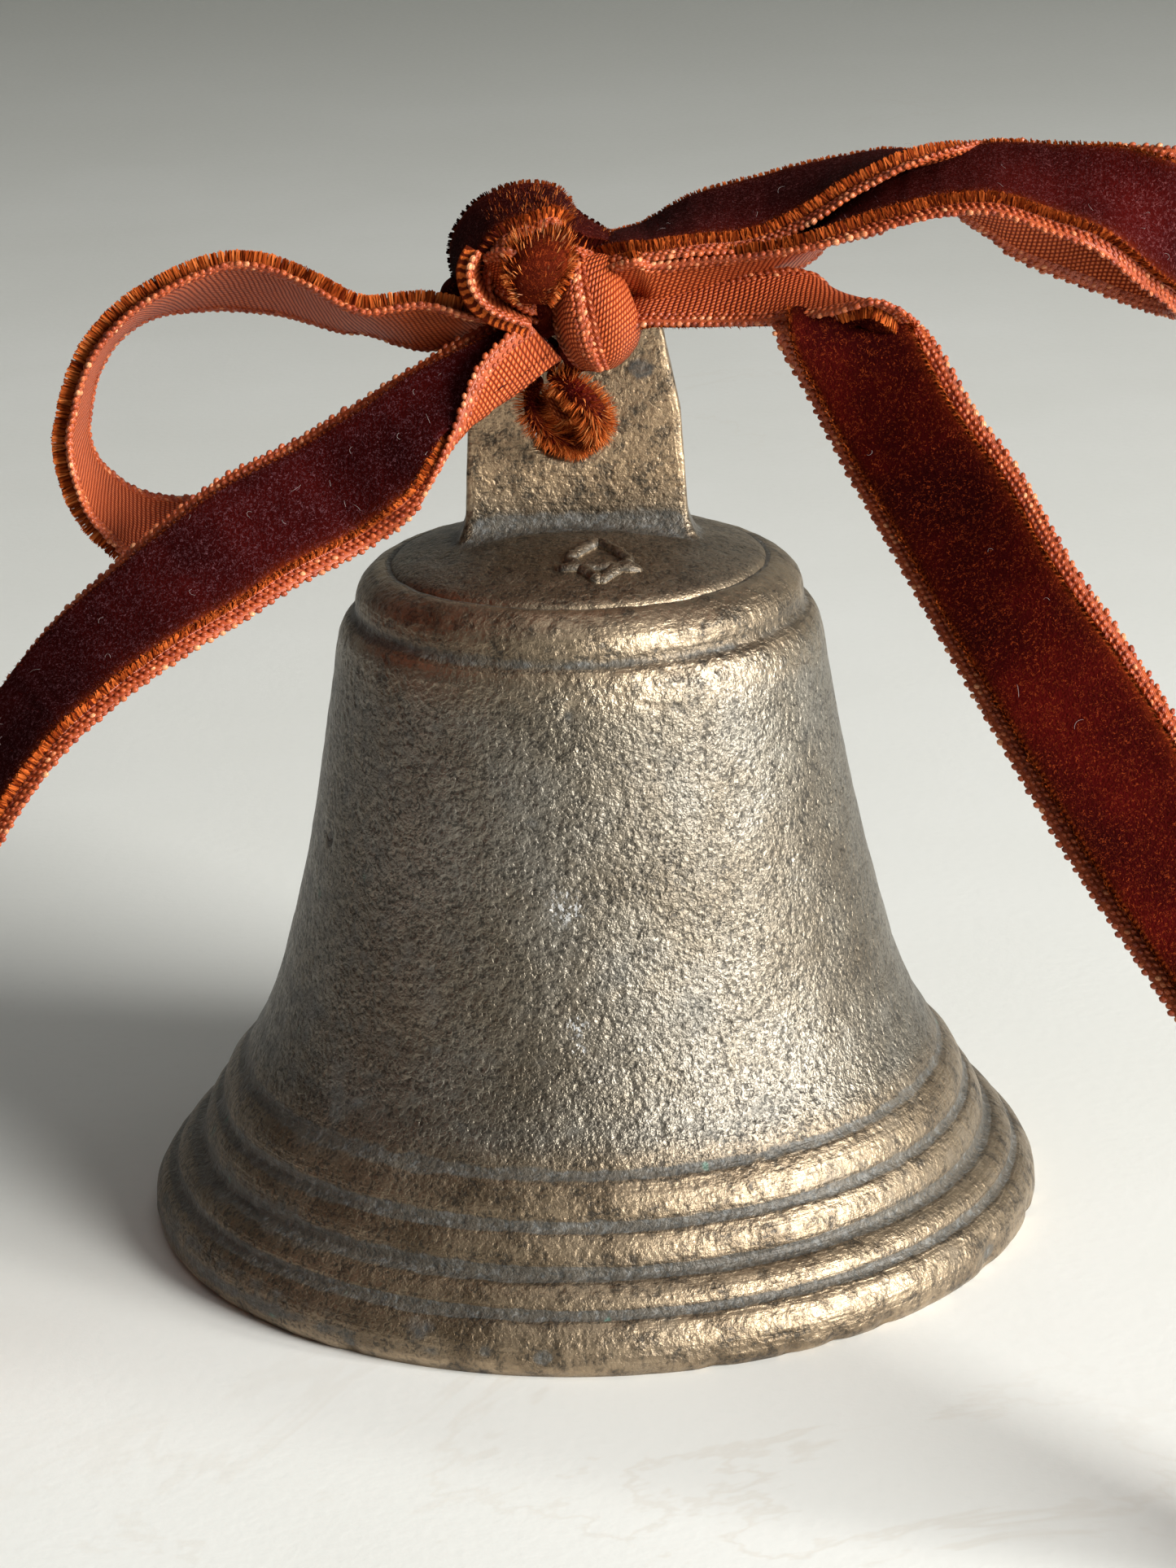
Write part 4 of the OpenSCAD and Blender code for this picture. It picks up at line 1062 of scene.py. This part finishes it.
def ribbon_body(runs, mats):
    top = HALF_TOP + [(WIDTH - w, h, e, sd) for w, h, e, sd in HALF_TOP[::-1]]
    sec = [(w, h, 0.0, 0.0, 0) for w, h in BACK]
    for q, (w, h, e, sd) in enumerate(top[::-1]):
        sec.append((w, h, e, sd, 2 if 2 <= q < len(top) - 3 else 1))
    sec = np.array(sec)
    m = len(sec)
    V, F, M, UV, ED, SD, TN, base = [], [], [], [], [], [], [], 0
    kind = []
    for q in range(m):
        a, b = sec[q], sec[(q + 1) % m]
        if q < len(BACK) - 1:
            kind.append(0 if 0.9 < (a[0] + b[0]) / 2 < 9.1 else 1)
        else:
            mid_h = (a[1] + b[1]) / 2
            kind.append(2 if mid_h > 0.385 and 0.5 < (a[0] + b[0]) / 2 < 9.5 else 1)
    for run in runs:
        ring = np.arange(run.n)[:, None] * np.ones((1, m))
        w = np.ones((run.n, 1)) * sec[None, :, 0]
        g = np.clip(run.wid / WIDTH, 0.35, 1.0)[:, None]
        h = np.ones((run.n, 1)) * sec[None, :, 1]
        fluff = 0.05 * lumps(run.P[:, 0] + 7, 1.1)[:, None] + 0.05 * lumps(run.P[:, -1] - 3, 0.6)[:, None]
        h = h + np.where(h > 0.9, fluff, 0)
        p = run.at(ring, w, h)
        V.append(p.reshape(-1, 3))
        n = run.n
        i, j = np.meshgrid(np.arange(n - 1), np.arange(m), indexing="ij")
        j2 = (j + 1) % m
        f = np.stack([i * m + j, i * m + j2, (i + 1) * m + j2, (i + 1) * m + j], axis=2).reshape(-1, 4) + base
        F += f.tolist()
        M += np.tile(kind, n - 1).tolist()
        F += [[base + q for q in range(m)][::-1], [base + (n - 1) * m + q for q in range(m)]]
        M += [2, 2]
        UV.append(np.stack([np.repeat(run.s[:, None], m, 1), w * np.maximum(run.wid / WIDTH, 0.5)[:, None], h], axis=2).reshape(-1, 3))
        gl, gr, tone, shag = look_of(run)
        # the edge value is painted glow: set per run and per side from LOOK, plus a base amount on shaggy runs
        ED.append(np.tile(sec[:, 2] * np.where(sec[:, 0] < 5, gl, gr) + (0.35 if shag > 0.5 else 0.25 * shag), n))
        TN.append(np.full(n * m, tone))
        SD.append(np.tile(sec[:, 3], n))
        base += n * m
    ob = mesh_object("velvet_ribbon_cloth", np.concatenate(V) * MM, F, mats, M)
    me = ob.data
    bm = bmesh.new()
    bm.from_mesh(me)
    bmesh.ops.recalc_face_normals(bm, faces=bm.faces)
    bm.to_mesh(me)
    bm.free()
    vector_attribute(me, "uvmm", np.concatenate(UV))
    float_attribute(me, "edge", np.concatenate(ED))
    float_attribute(me, "side", np.concatenate(SD))
    float_attribute(me, "tone", np.concatenate(TN))
    float_attribute(me, "tint", rng.random(base) * 0.5 + 0.2)
    return ob


FRONT_ROWS = ((0.04, 0.15, 0.285, 0.21, 0.22), (0.41, 0.30, 0.25, 0.185, 0.19), (0.77, 0.33, 0.25, 0.165, 0.18))
BACK_ROWS = ((0.36, -0.01, 0.25, 0.19, 0.15), (0.74, 0.01, 0.24, 0.17, 0.14))


def ribbon_selvedge(runs, mat, name, rows, lat):
    """Thread loops wrapped round the edge: rows of small slanted beads."""
    seg = 6
    unit = [(0, 0, -1.0)]
    for z in lat:
        r = math.sqrt(1 - z * z)
        unit += [(r * math.cos(2 * math.pi * q / seg), r * math.sin(2 * math.pi * q / seg), z) for q in range(seg)]
    unit.append((0, 0, 1.0))
    unit = np.array(unit)
    uf = [(0, 1 + (q + 1) % seg, 1 + q) for q in range(seg)]
    for a in range(len(lat) - 1):
        uf += [(1 + a * seg + q, 1 + a * seg + (q + 1) % seg, 1 + (a + 1) * seg + (q + 1) % seg, 1 + (a + 1) * seg + q) for q in range(seg)]
    uf += [(1 + (len(lat) - 1) * seg + q, 1 + (len(lat) - 1) * seg + (q + 1) % seg, len(unit) - 1) for q in range(seg)]
    C, A3, TI = [], [], []
    for run in runs:
        for left in (0, 1):
            edge_pts = run.P[:, 0 if left == 0 else -1]
            sl = np.concatenate([[0], np.cumsum(np.linalg.norm(np.diff(edge_pts, axis=0), axis=1))])
            if sl[-1] < 1.5:
                continue
            for row, (w0, hh, ra, rb, rc) in enumerate(rows):
                k = int(sl[-1] / 0.53)
                t = (np.arange(k) + 0.5 + 0.33 * row) * 0.53 + rng.normal(0, 0.03, k)
                t = t[(t > 0) & (t < sl[-1])]
                k = len(t)
                ring = np.interp(t, sl, np.arange(run.n))
                scale = WIDTH / np.maximum(run.wid[ring.astype(int)], 4.0)
                w = w0 * scale + rng.normal(0, 0.020, k)
                if w0 < 0.1:
                    w -= 0.13 * ((np.arange(k) // 1) % 2)
                wq = w if left == 0 else WIDTH - w
                c = run.at(ring, wq, np.full(k, hh) + rng.normal(0, 0.015, k))
                T, W, N = run.frame(ring, np.clip(wq, 0, WIDTH))
                if left:
                    W = -W
                ang = math.radians(32) + rng.normal(0, 0.12, k)
                a1 = T * np.cos(ang)[:, None] + W * np.sin(ang)[:, None]
                a2 = -T * np.sin(ang)[:, None] + W * np.cos(ang)[:, None]
                sc = 1 + rng.normal(0, 0.07, k)
                C.append(c)
                A3.append(np.stack([a1 * (ra * sc)[:, None], N * (rc * sc)[:, None], a2 * (rb * sc)[:, None]], axis=1))
                TI.append(np.clip(0.58 - 0.08 * row + rng.normal(0, 0.22, k), 0, 1))
    C, A3, TI = np.concatenate(C), np.concatenate(A3), np.concatenate(TI)
    V = (C[:, None, :] + np.einsum("ui,kij->kuj", unit[:, [2, 0, 1]], A3)).reshape(-1, 3)
    nb, nu = len(C), len(unit)
    # a bead whose axes make a left-handed set has its faces turned round
    det = np.linalg.det(A3[:, [1, 2, 0]]) < 0
    F = []
    for f in uf:
        idx = (np.arange(nb) * nu)[:, None] + np.array(f)[None, :]
        idx[det] = idx[det][:, ::-1]
        F += idx.tolist()
    ob = mesh_object(name, V * MM, F, [mat])
    me = ob.data
    uvw = np.repeat(np.stack([np.arange(nb) * 0.46, np.zeros(nb), np.zeros(nb)], axis=1), nu, axis=0) + np.tile(unit * 0.22, (nb, 1))
    vector_attribute(me, "uvmm", uvw)
    float_attribute(me, "tint", np.repeat(TI, nu))
    return ob


def blades(base, way, across, length, width, bend, tint, edge, parts=1, keep=None):
    """Thin tapered fibres. way and across are unit vectors, bend is added at the tip."""
    if keep is not None:
        base, way, across, length, width, bend, tint, edge = (q[keep] for q in (base, way, across, length, width, bend, tint, edge))
    k = len(base)
    mid = base + way * (length * 0.55)[:, None] + bend * (length * 0.18)[:, None]
    tip = base + way * length[:, None] + bend * (length * 0.55)[:, None]
    side = across * (width / 2)[:, None]
    if parts == 3:
        # a blunt lock, as wide at its tip as at its root
        V = np.stack([base - side * 0.8, base + side * 0.8, mid + side * 1.1, mid - side * 1.1, tip + side * 0.8, tip - side * 0.8], axis=1)
        F4 = (np.arange(k) * 6)[:, None] + np.array([0, 1, 2, 3])
        F5 = (np.arange(k) * 6)[:, None] + np.array([3, 2, 4, 5])
        return V.reshape(-1, 3), F4.tolist() + F5.tolist(), np.repeat(tint, 6), np.repeat(edge, 6), np.tile([0, 0, 0.6, 0.6, 1, 1], k)
    if parts == 2:
        V = np.stack([base - side, base + side, mid + side * 0.8, mid - side * 0.8, tip], axis=1)
        F4 = (np.arange(k) * 5)[:, None] + np.array([0, 1, 2, 3])
        F3 = (np.arange(k) * 5)[:, None] + np.array([3, 2, 4])
        return V.reshape(-1, 3), F4.tolist() + F3.tolist(), np.repeat(tint, 5), np.repeat(edge, 5), np.tile([0, 0, 0.7, 0.7, 1], k)
    V = np.stack([base - side, base + side, tip], axis=1)
    F3 = (np.arange(k) * 3)[:, None] + np.array([0, 1, 2])
    return V.reshape(-1, 3), F3.tolist(), np.repeat(tint, 3), np.repeat(edge, 3), np.tile([0, 0, 1], k)


BARE = {"right_tail": (1, 0.0, 17.0), "left_tail": (0, 0.0, 200.0)}
BACK_ONLY = ("wrap", "wrap_edge", "swirl_outer", "swirl_inner")


# centre line and thickness of the two folds that come out of the hole, and the
# dark cleft between them, in mm
LOBES = [([(-1.4, -7.6, 66.2), (-0.3, -8.4, 65.7), (0.8, -8.6, 64.7), (1.4, -7.8, 63.5), (1.5, -6.2, 62.1), (0.9, -4.2, 60.9), (0.1, -1.0, 60.1), (-0.1, 1.0, 59.7)],
     [0.55, 0.8, 0.92, 0.92, 0.8, 0.6, 0.5, 0.5]),
    ([(-2.6, -5.8, 65.4), (-3.1, -6.2, 64.3), (-2.9, -6.2, 63.1), (-2.1, -5.6, 61.8), (-1.0, -4.8, 60.9), (0.1, -3.2, 60.2), (-0.0, -1.0, 59.9), (-0.1, 1.0, 59.7)],
     [0.5, 0.58, 0.6, 0.6, 0.6, 0.55, 0.5, 0.5])]
CLEFT = [(-2.4, -6.8, 64.2), (-1.7, -7.2, 63.4), (-0.9, -7.0, 62.5), (-0.1, -6.0, 61.6), (0.6, -5.0, 60.8)]


def ribbon_pile(runs, mat, mat_lint):
    V, F, TI, ED, TP, base_i = [], [], [], [], [], 0

    def add(got):
        nonlocal base_i
        v, f, t, e, tp = got
        V.append(v)
        F.extend([[q + base_i for q in face] for face in f])
        TI.append(t)
        ED.append(e)
        TP.append(tp)
        base_i += len(v)

    def unit(a):
        return a / np.maximum(np.linalg.norm(a, axis=-1), 1e-9)[..., None]

    for run in runs:
        if run.name in BACK_ONLY:
            continue
        total = run.s[-1] - run.s[0]
        wid = float(np.mean(run.wid))
        gl, gr, tone, shag = look_of(run)
        # pile standing on the top
        k = int(total * 8.2 * min(1, wid / WIDTH) * (17.0 + 14.0 * shag))
        ring = rng.random(k) * (run.n - 1.01)
        w = 1.02 + rng.random(k) * 7.96
        rim_share = rng.random(k) < 0.30
        w = np.where(rim_share, np.where(rng.random(k) < 0.5, 1.0 + 0.75 * rng.random(k), 9.0 - 0.75 * rng.random(k)), w)
        near = np.minimum(w, WIDTH - w)
        side_gain = np.where(w < 5, gl, gr)
        e = np.clip(1 - (near - 1.0) / 0.85, 0, 1)
        p = run.at(ring, w, np.full(k, 1.22 if run.name == "front_tuft" else 1.10 - 0.30 * shag))
        T, W, N = run.frame(ring, w)
        out = np.where(w < 5, -1.0, 1.0) * np.clip(1 - (near - 1.0) / 1.2, 0, 1) * 0.38
        out = out + shag * (w - 5) / 4.0 * 0.8
        lean = N + W * out[:, None] + T * 0.22 + rng.normal(0, 0.20, (k, 3))
        if run.name == "front_tuft":
            root = np.array([-2.6, -9.0, 70.9])
            fan = unit(p - root)
            lean = N * 0.42 + fan * 1.1 + rng.normal(0, 0.15, (k, 3))
        way = unit(lean)
        ac = unit(np.cross(way, rng.normal(0, 1, (k, 3))))
        ln = rng.uniform(0.19, 0.33, k) + shag * rng.uniform(0.45, 0.85, k)
        # painted glow: each side of a run glows by its own amount, shaggy runs in random patches, the ear and top fold
        # round GLOW_AT
        edge = e ** 1.2 * side_gain
        if shag > 0.5:
            edge = np.clip(edge * 0.6 + 0.74 + 1.1 * lumps(p, 0.9), 0.25, 1)
        for x, y, z, r in GLOW_AT:
            if run.name in ("ear", "top_fold"):
                g = np.clip(1.25 - np.linalg.norm(p - np.array([x, y, z]), axis=1) / r, 0, 1)
                edge = np.maximum(edge, np.clip(g * 1.6, 0, 1))
                ln = ln + 0.35 * np.clip(g, 0, 1)
        tint = rng.random(k) ** 1.15
        tint = np.clip(tint + 0.22 * (shag > 0.5), 0, 1)
        # runs with a low tone lose the grey-pink specks, the painted reflections
        tint = np.where((tint > 0.86) & (rng.random(k) > tone) & (edge < 0.5), 0.6, tint)
        add(blades(p, way, ac, ln, rng.uniform(0.05, 0.085, k), rng.normal(0, 0.16, (k, 3)), tint, edge, parts=2 if shag > 0.2 else 1))
        # tufts down both sides
        for left in (0, 1):
            pts = run.P[:, 4 if left == 0 else -5]
            sl = np.concatenate([[0], np.cumsum(np.linalg.norm(np.diff(pts, axis=0), axis=1))])
            k = int(sl[-1] / (0.020 if run.name == "left_loop" else 0.032))
            if k < 12:
                continue
            t = rng.random(k) * sl[-1]
            clump = np.floor(t / 0.44)
            into = t / 0.44 - clump - 0.5
            crand = np.random.default_rng(5 + left).random(int(clump.max()) + 2)
            ring = np.interp(t, sl, np.arange(run.n))
            w0 = rng.uniform(0.93, 1.12, k)
            wq = w0 if left == 0 else WIDTH - w0
            hb = rng.uniform(0.34, 0.78, k)
            p = run.at(ring, wq, hb)
            T, W, N = run.frame(ring, wq)
            o = W * (-1 if left == 0 else 1)
            way = unit(N * 1.0 + o * rng.uniform(0.02, 0.20 + 0.3 * shag + 0.25 * (run.name == "left_loop"), k)[:, None] - T * (into * (0.16 if run.name == "left_loop" else 0.34))[:, None] + rng.normal(0, 0.07, (k, 3)))
            ac = unit(T + rng.normal(0, 0.25, (k, 3)))
            ln = (rng.uniform(1.24, 1.34, k) - hb) * (0.97 + 0.06 * crand[clump.astype(int)]) + 0.35 * shag + 0.18 * (run.name == "left_loop")
            tint = np.clip(0.75 * crand[clump.astype(int)] + rng.normal(0.16, 0.16, k), 0, 1)
            # painted light: each side's tufts are brighter and glow more on the side given more light, darker on the
            # other; on the ear and top fold they glow round GLOW_AT
            lit = np.full(k, gl if left == 0 else gr)
            if run.name in ("ear", "top_fold"):
                g = np.clip(1.35 - np.linalg.norm(p - np.array(GLOW_AT[0][:3]), axis=1) / GLOW_AT[0][3], 0, 1)
                lit = -0.30 + 1.30 * g
                tint = tint * np.clip(0.35 + g, 0, 1)
            side, a_mm, b_mm = BARE.get(run.name, (2, 0, 0))
            keep = np.ones(k, bool)
            if side == left:
                keep = (t < a_mm) | (t > b_mm)
            add(blades(p, way, ac, ln, rng.uniform(0.08, 0.13, k), o * 0.06 + rng.normal(0, 0.05, (k, 3)), tint * (0.45 + 0.55 * np.clip(lit, 0, 1)), np.clip(0.25 + 0.75 * lit, 0, 1), parts=3, keep=keep))
    # the pinched loop that comes out of the hole: tufts all round two thick folds, with painted shade (darker, less
    # glow) near the cleft between them
    for path, radii in LOBES:
        line, length = spline(np.column_stack([path, radii]), step=0.12)
        tang = unit(np.gradient(line[:, :3], axis=0))
        k = int(length * 2 * math.pi * 0.8 * 34)
        at = rng.random(k) * (len(line) - 1.01)
        i = at.astype(int)
        f = (at - i)[:, None]
        c = line[i, :3] * (1 - f) + line[i + 1, :3] * f
        r = line[i, 3]
        n1 = unit(np.cross(tang[i], np.array([0.31, 0.2, 0.93])))
        n2 = np.cross(tang[i], n1)
        a = rng.random(k) * 2 * math.pi
        nn = n1 * np.cos(a)[:, None] + n2 * np.sin(a)[:, None]
        p = c + nn * (r * 0.75)[:, None]
        way = unit(nn + tang[i] * rng.normal(0.10, 0.14, k)[:, None] + rng.normal(0, 0.10, (k, 3)))
        cleft = np.min([np.linalg.norm(p - np.array(q), axis=1) for q in CLEFT], axis=0)
        lit = np.clip((cleft - 0.50) / 0.75, 0.0, 1) * np.clip(1.3 + lumps(p, 1.0), 0.5, 1)
        ln = r * 0.25 + rng.uniform(0.70, 1.02, k)
        tint = np.clip(rng.normal(0.60, 0.25, k), 0, 1) * (0.30 + 0.70 * lit)
        add(blades(p, way, unit(np.cross(way, rng.normal(0, 1, (k, 3)))), ln, rng.uniform(0.05, 0.09, k), rng.normal(0, 0.12, (k, 3)), tint, 0.15 + 0.85 * lit, parts=2))
    n_pile = sum(len(v) for v in V)
    nf_pile = len(F)
    # pale lint lying on the pile: thin curled threads
    for run in runs:
        if run.name not in ("left_tail", "right_loop", "right_tail"):
            continue
        k = int((run.s[-1] - run.s[0]) * (0.40 if run.name == "left_tail" else 0.20))
        for _ in range(k):
            ring0 = rng.random() * (run.n - 2)
            w0 = rng.uniform(1.4, 8.6)
            ln = rng.uniform(0.35, 1.1)
            turn = rng.uniform(-3.5, 3.5)
            a0 = rng.uniform(0, 2 * math.pi)
            m = 7
            u = np.linspace(0, 1, m)
            ang = a0 + turn * u
            ds = np.cumsum(np.cos(ang)) * ln / m
            dw = np.cumsum(np.sin(ang)) * ln / m
            rr = ring0 + ds / STEP
            ww = np.clip(w0 + dw, 0.6, 9.4)
            h = 1.52 + 0.14 * np.sin(u * math.pi) + rng.uniform(-0.03, 0.06)
            c = run.at(rr, ww, h)
            T, W, N = run.frame(rr, ww)
            d = unit(np.gradient(c, axis=0))
            sd = unit(np.cross(d, N)) * 0.010
            up = N * 0.010
            ringv = np.stack([c - sd, c + up, c + sd], axis=1).reshape(-1, 3)
            f = []
            for q in range(m - 1):
                for z in range(3):
                    z2 = (z + 1) % 3
                    f.append([q * 3 + z, q * 3 + z2, q * 3 + 3 + z2, q * 3 + 3 + z])
            add((ringv, f, np.full(3 * m, rng.random()), np.zeros(3 * m), np.ones(3 * m)))
    mi = np.zeros(len(F), np.int32)
    mi[nf_pile:] = 1
    ob = mesh_object("ribbon_pile", np.concatenate(V) * MM, F, [mat, mat_lint], mi)
    float_attribute(ob.data, "tint", np.concatenate(TI))
    float_attribute(ob.data, "edge", np.concatenate(ED))
    float_attribute(ob.data, "tip", np.concatenate(TP))
    return ob


def lint_material():
    k = Mat("lint")
    v = k.coords()
    k.set(Base_Color=k.mix(k.noise(v, 700.0, 2.0), (0.22, 0.17, 0.17), (0.40, 0.33, 0.32)), Roughness=k.step(k.noise(v, 3000.0), 0.3, 0.7, 0.6, 0.8))
    return k.m


def knot_core(mats):
    """What fills the knot between its folds, and the two folds in the hole."""
    bm = bmesh.new()
    for path, radii in LOBES:
        line, _ = spline(np.column_stack([path, radii]), step=0.35)
        for x, y, z, r in line:
            bmesh.ops.create_icosphere(bm, subdivisions=3, radius=r, matrix=Matrix.Translation((x, y, z)))
    for x, y, z, r in ((-2.6, -6.6, 71.6, 2.9), (1.4, -6.6, 70.2, 2.7), (0.2, -5.8, 73.6, 2.7), (-4.0, -5.8, 74.2, 2.3), (0.6, -7.4, 68.2, 1.7), (-1.7, -3.6, 75.6, 2.0), (-0.3, -3.4, 76.2, 1.5), (-1.9, -5.4, 67.4, 1.3), (-7.9, -3.2, 71.4, 1.5), (-7.4, -2.6, 70.4, 1.5)):
        bmesh.ops.create_icosphere(bm, subdivisions=4, radius=r, matrix=Matrix.Translation((x, y, z)))
    me = bpy.data.meshes.new("core")
    bm.to_mesh(me)
    bm.free()
    ob = link(bpy.data.objects.new("core", me))
    rm = ob.modifiers.new("r", "REMESH")
    rm.mode = "VOXEL"
    rm.voxel_size = 0.25
    apply_modifiers(ob)
    co = coords_of(ob.data)
    no = normals_of(ob.data)
    co = co + no * (np.where(co[:, 2] < 67.0, 0.10, 0.35) * lumps(co, 1.8, 2))[:, None]
    ob.data.vertices.foreach_set("co", (co * MM).astype(np.float32).ravel())
    ob.data.materials.append(mats[2])
    n = len(co)
    vector_attribute(ob.data, "uvmm", co)
    # painted glow in random patches
    float_attribute(ob.data, "edge", np.clip(0.35 + lumps(co, 1.0), 0, 1) * 0.5)
    float_attribute(ob.data, "side", np.zeros(n))
    float_attribute(ob.data, "tone", np.full(n, 0.3))
    float_attribute(ob.data, "tint", np.full(n, 0.4))
    ob.name = "ribbon_knot_core"
    return ob


RIBBON = build_runs()
ribbon_mats = [satin_material(), selvedge_material(), velvet_material()]
cloth = ribbon_body(RIBBON, ribbon_mats)
selv = ribbon_selvedge(RIBBON, ribbon_mats[1], "ribbon_selvedge", FRONT_ROWS, (-0.62, 0.0, 0.62))
selv2 = ribbon_selvedge(RIBBON, ribbon_mats[1], "ribbon_selvedge_back", BACK_ROWS, (-0.45, 0.45))
pile = ribbon_pile(RIBBON, fibre_material(), lint_material())
core = knot_core(ribbon_mats)
print("FACES", len(bell.data.polygons), len(cloth.data.polygons), len(selv.data.polygons), len(selv2.data.polygons), len(pile.data.polygons), len(core.data.polygons))
for ob in (cloth, selv, selv2, pile, core):
    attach(ob, "bell")
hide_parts("velvet_ribbon")


# ---------------------------------------------------------------- iron clapper
def iron_material(name, base, rust, rough):
    k = Mat(name)
    v = k.coords()
    a = k.noise(v, 300.0, 4.0, 0.6)
    b = k.noise(v, 1600.0, 3.0, 0.6)
    c = k.noise(v, 4200.0, 2.0, 0.5)
    col = k.mix(k.step(a, 0.35, 0.65), base, tuple(x * 1.9 for x in base))
    r = k.math("MULTIPLY", k.step(k.math("ADD", k.math("MULTIPLY", a, 0.5), k.math("MULTIPLY", b, 0.5)), 0.47, 0.60), 0.8)
    col = k.mix(r, col, k.mix(k.step(c, 0.4, 0.6), rust, tuple(x * 1.7 for x in rust)))
    k.set(Base_Color=col, Metallic=k.step(r, 0.0, 0.8, 0.85, 0.15), Roughness=k.step(r, 0.0, 0.8, rough, 0.85))
    k.set(Normal=k.bump(k.math("ADD", k.math("MULTIPLY", b, 0.7), k.math("MULTIPLY", c, 0.3)), 0.00012, 0.7))
    return k.m


IRON = {
    "crown_staple": iron_material("iron_staple", (0.045, 0.040, 0.036), (0.120, 0.048, 0.020), 0.50),
    "clapper_link": iron_material("iron_link", (0.060, 0.055, 0.050), (0.110, 0.042, 0.018), 0.42),
    "clapper_shaft": iron_material("iron_rod", (0.050, 0.045, 0.040), (0.125, 0.050, 0.020), 0.50),
    "clapper_ball": iron_material("iron_ball", (0.055, 0.050, 0.046), (0.105, 0.045, 0.020), 0.45),
}
for node_name, mat in IRON.items():
    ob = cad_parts[node_name]
    if not ob.data.materials:
        ob.data.materials.append(mat)
    for slot_i in range(len(ob.material_slots)):
        ob.material_slots[slot_i].link = "OBJECT"
        ob.material_slots[slot_i].material = mat
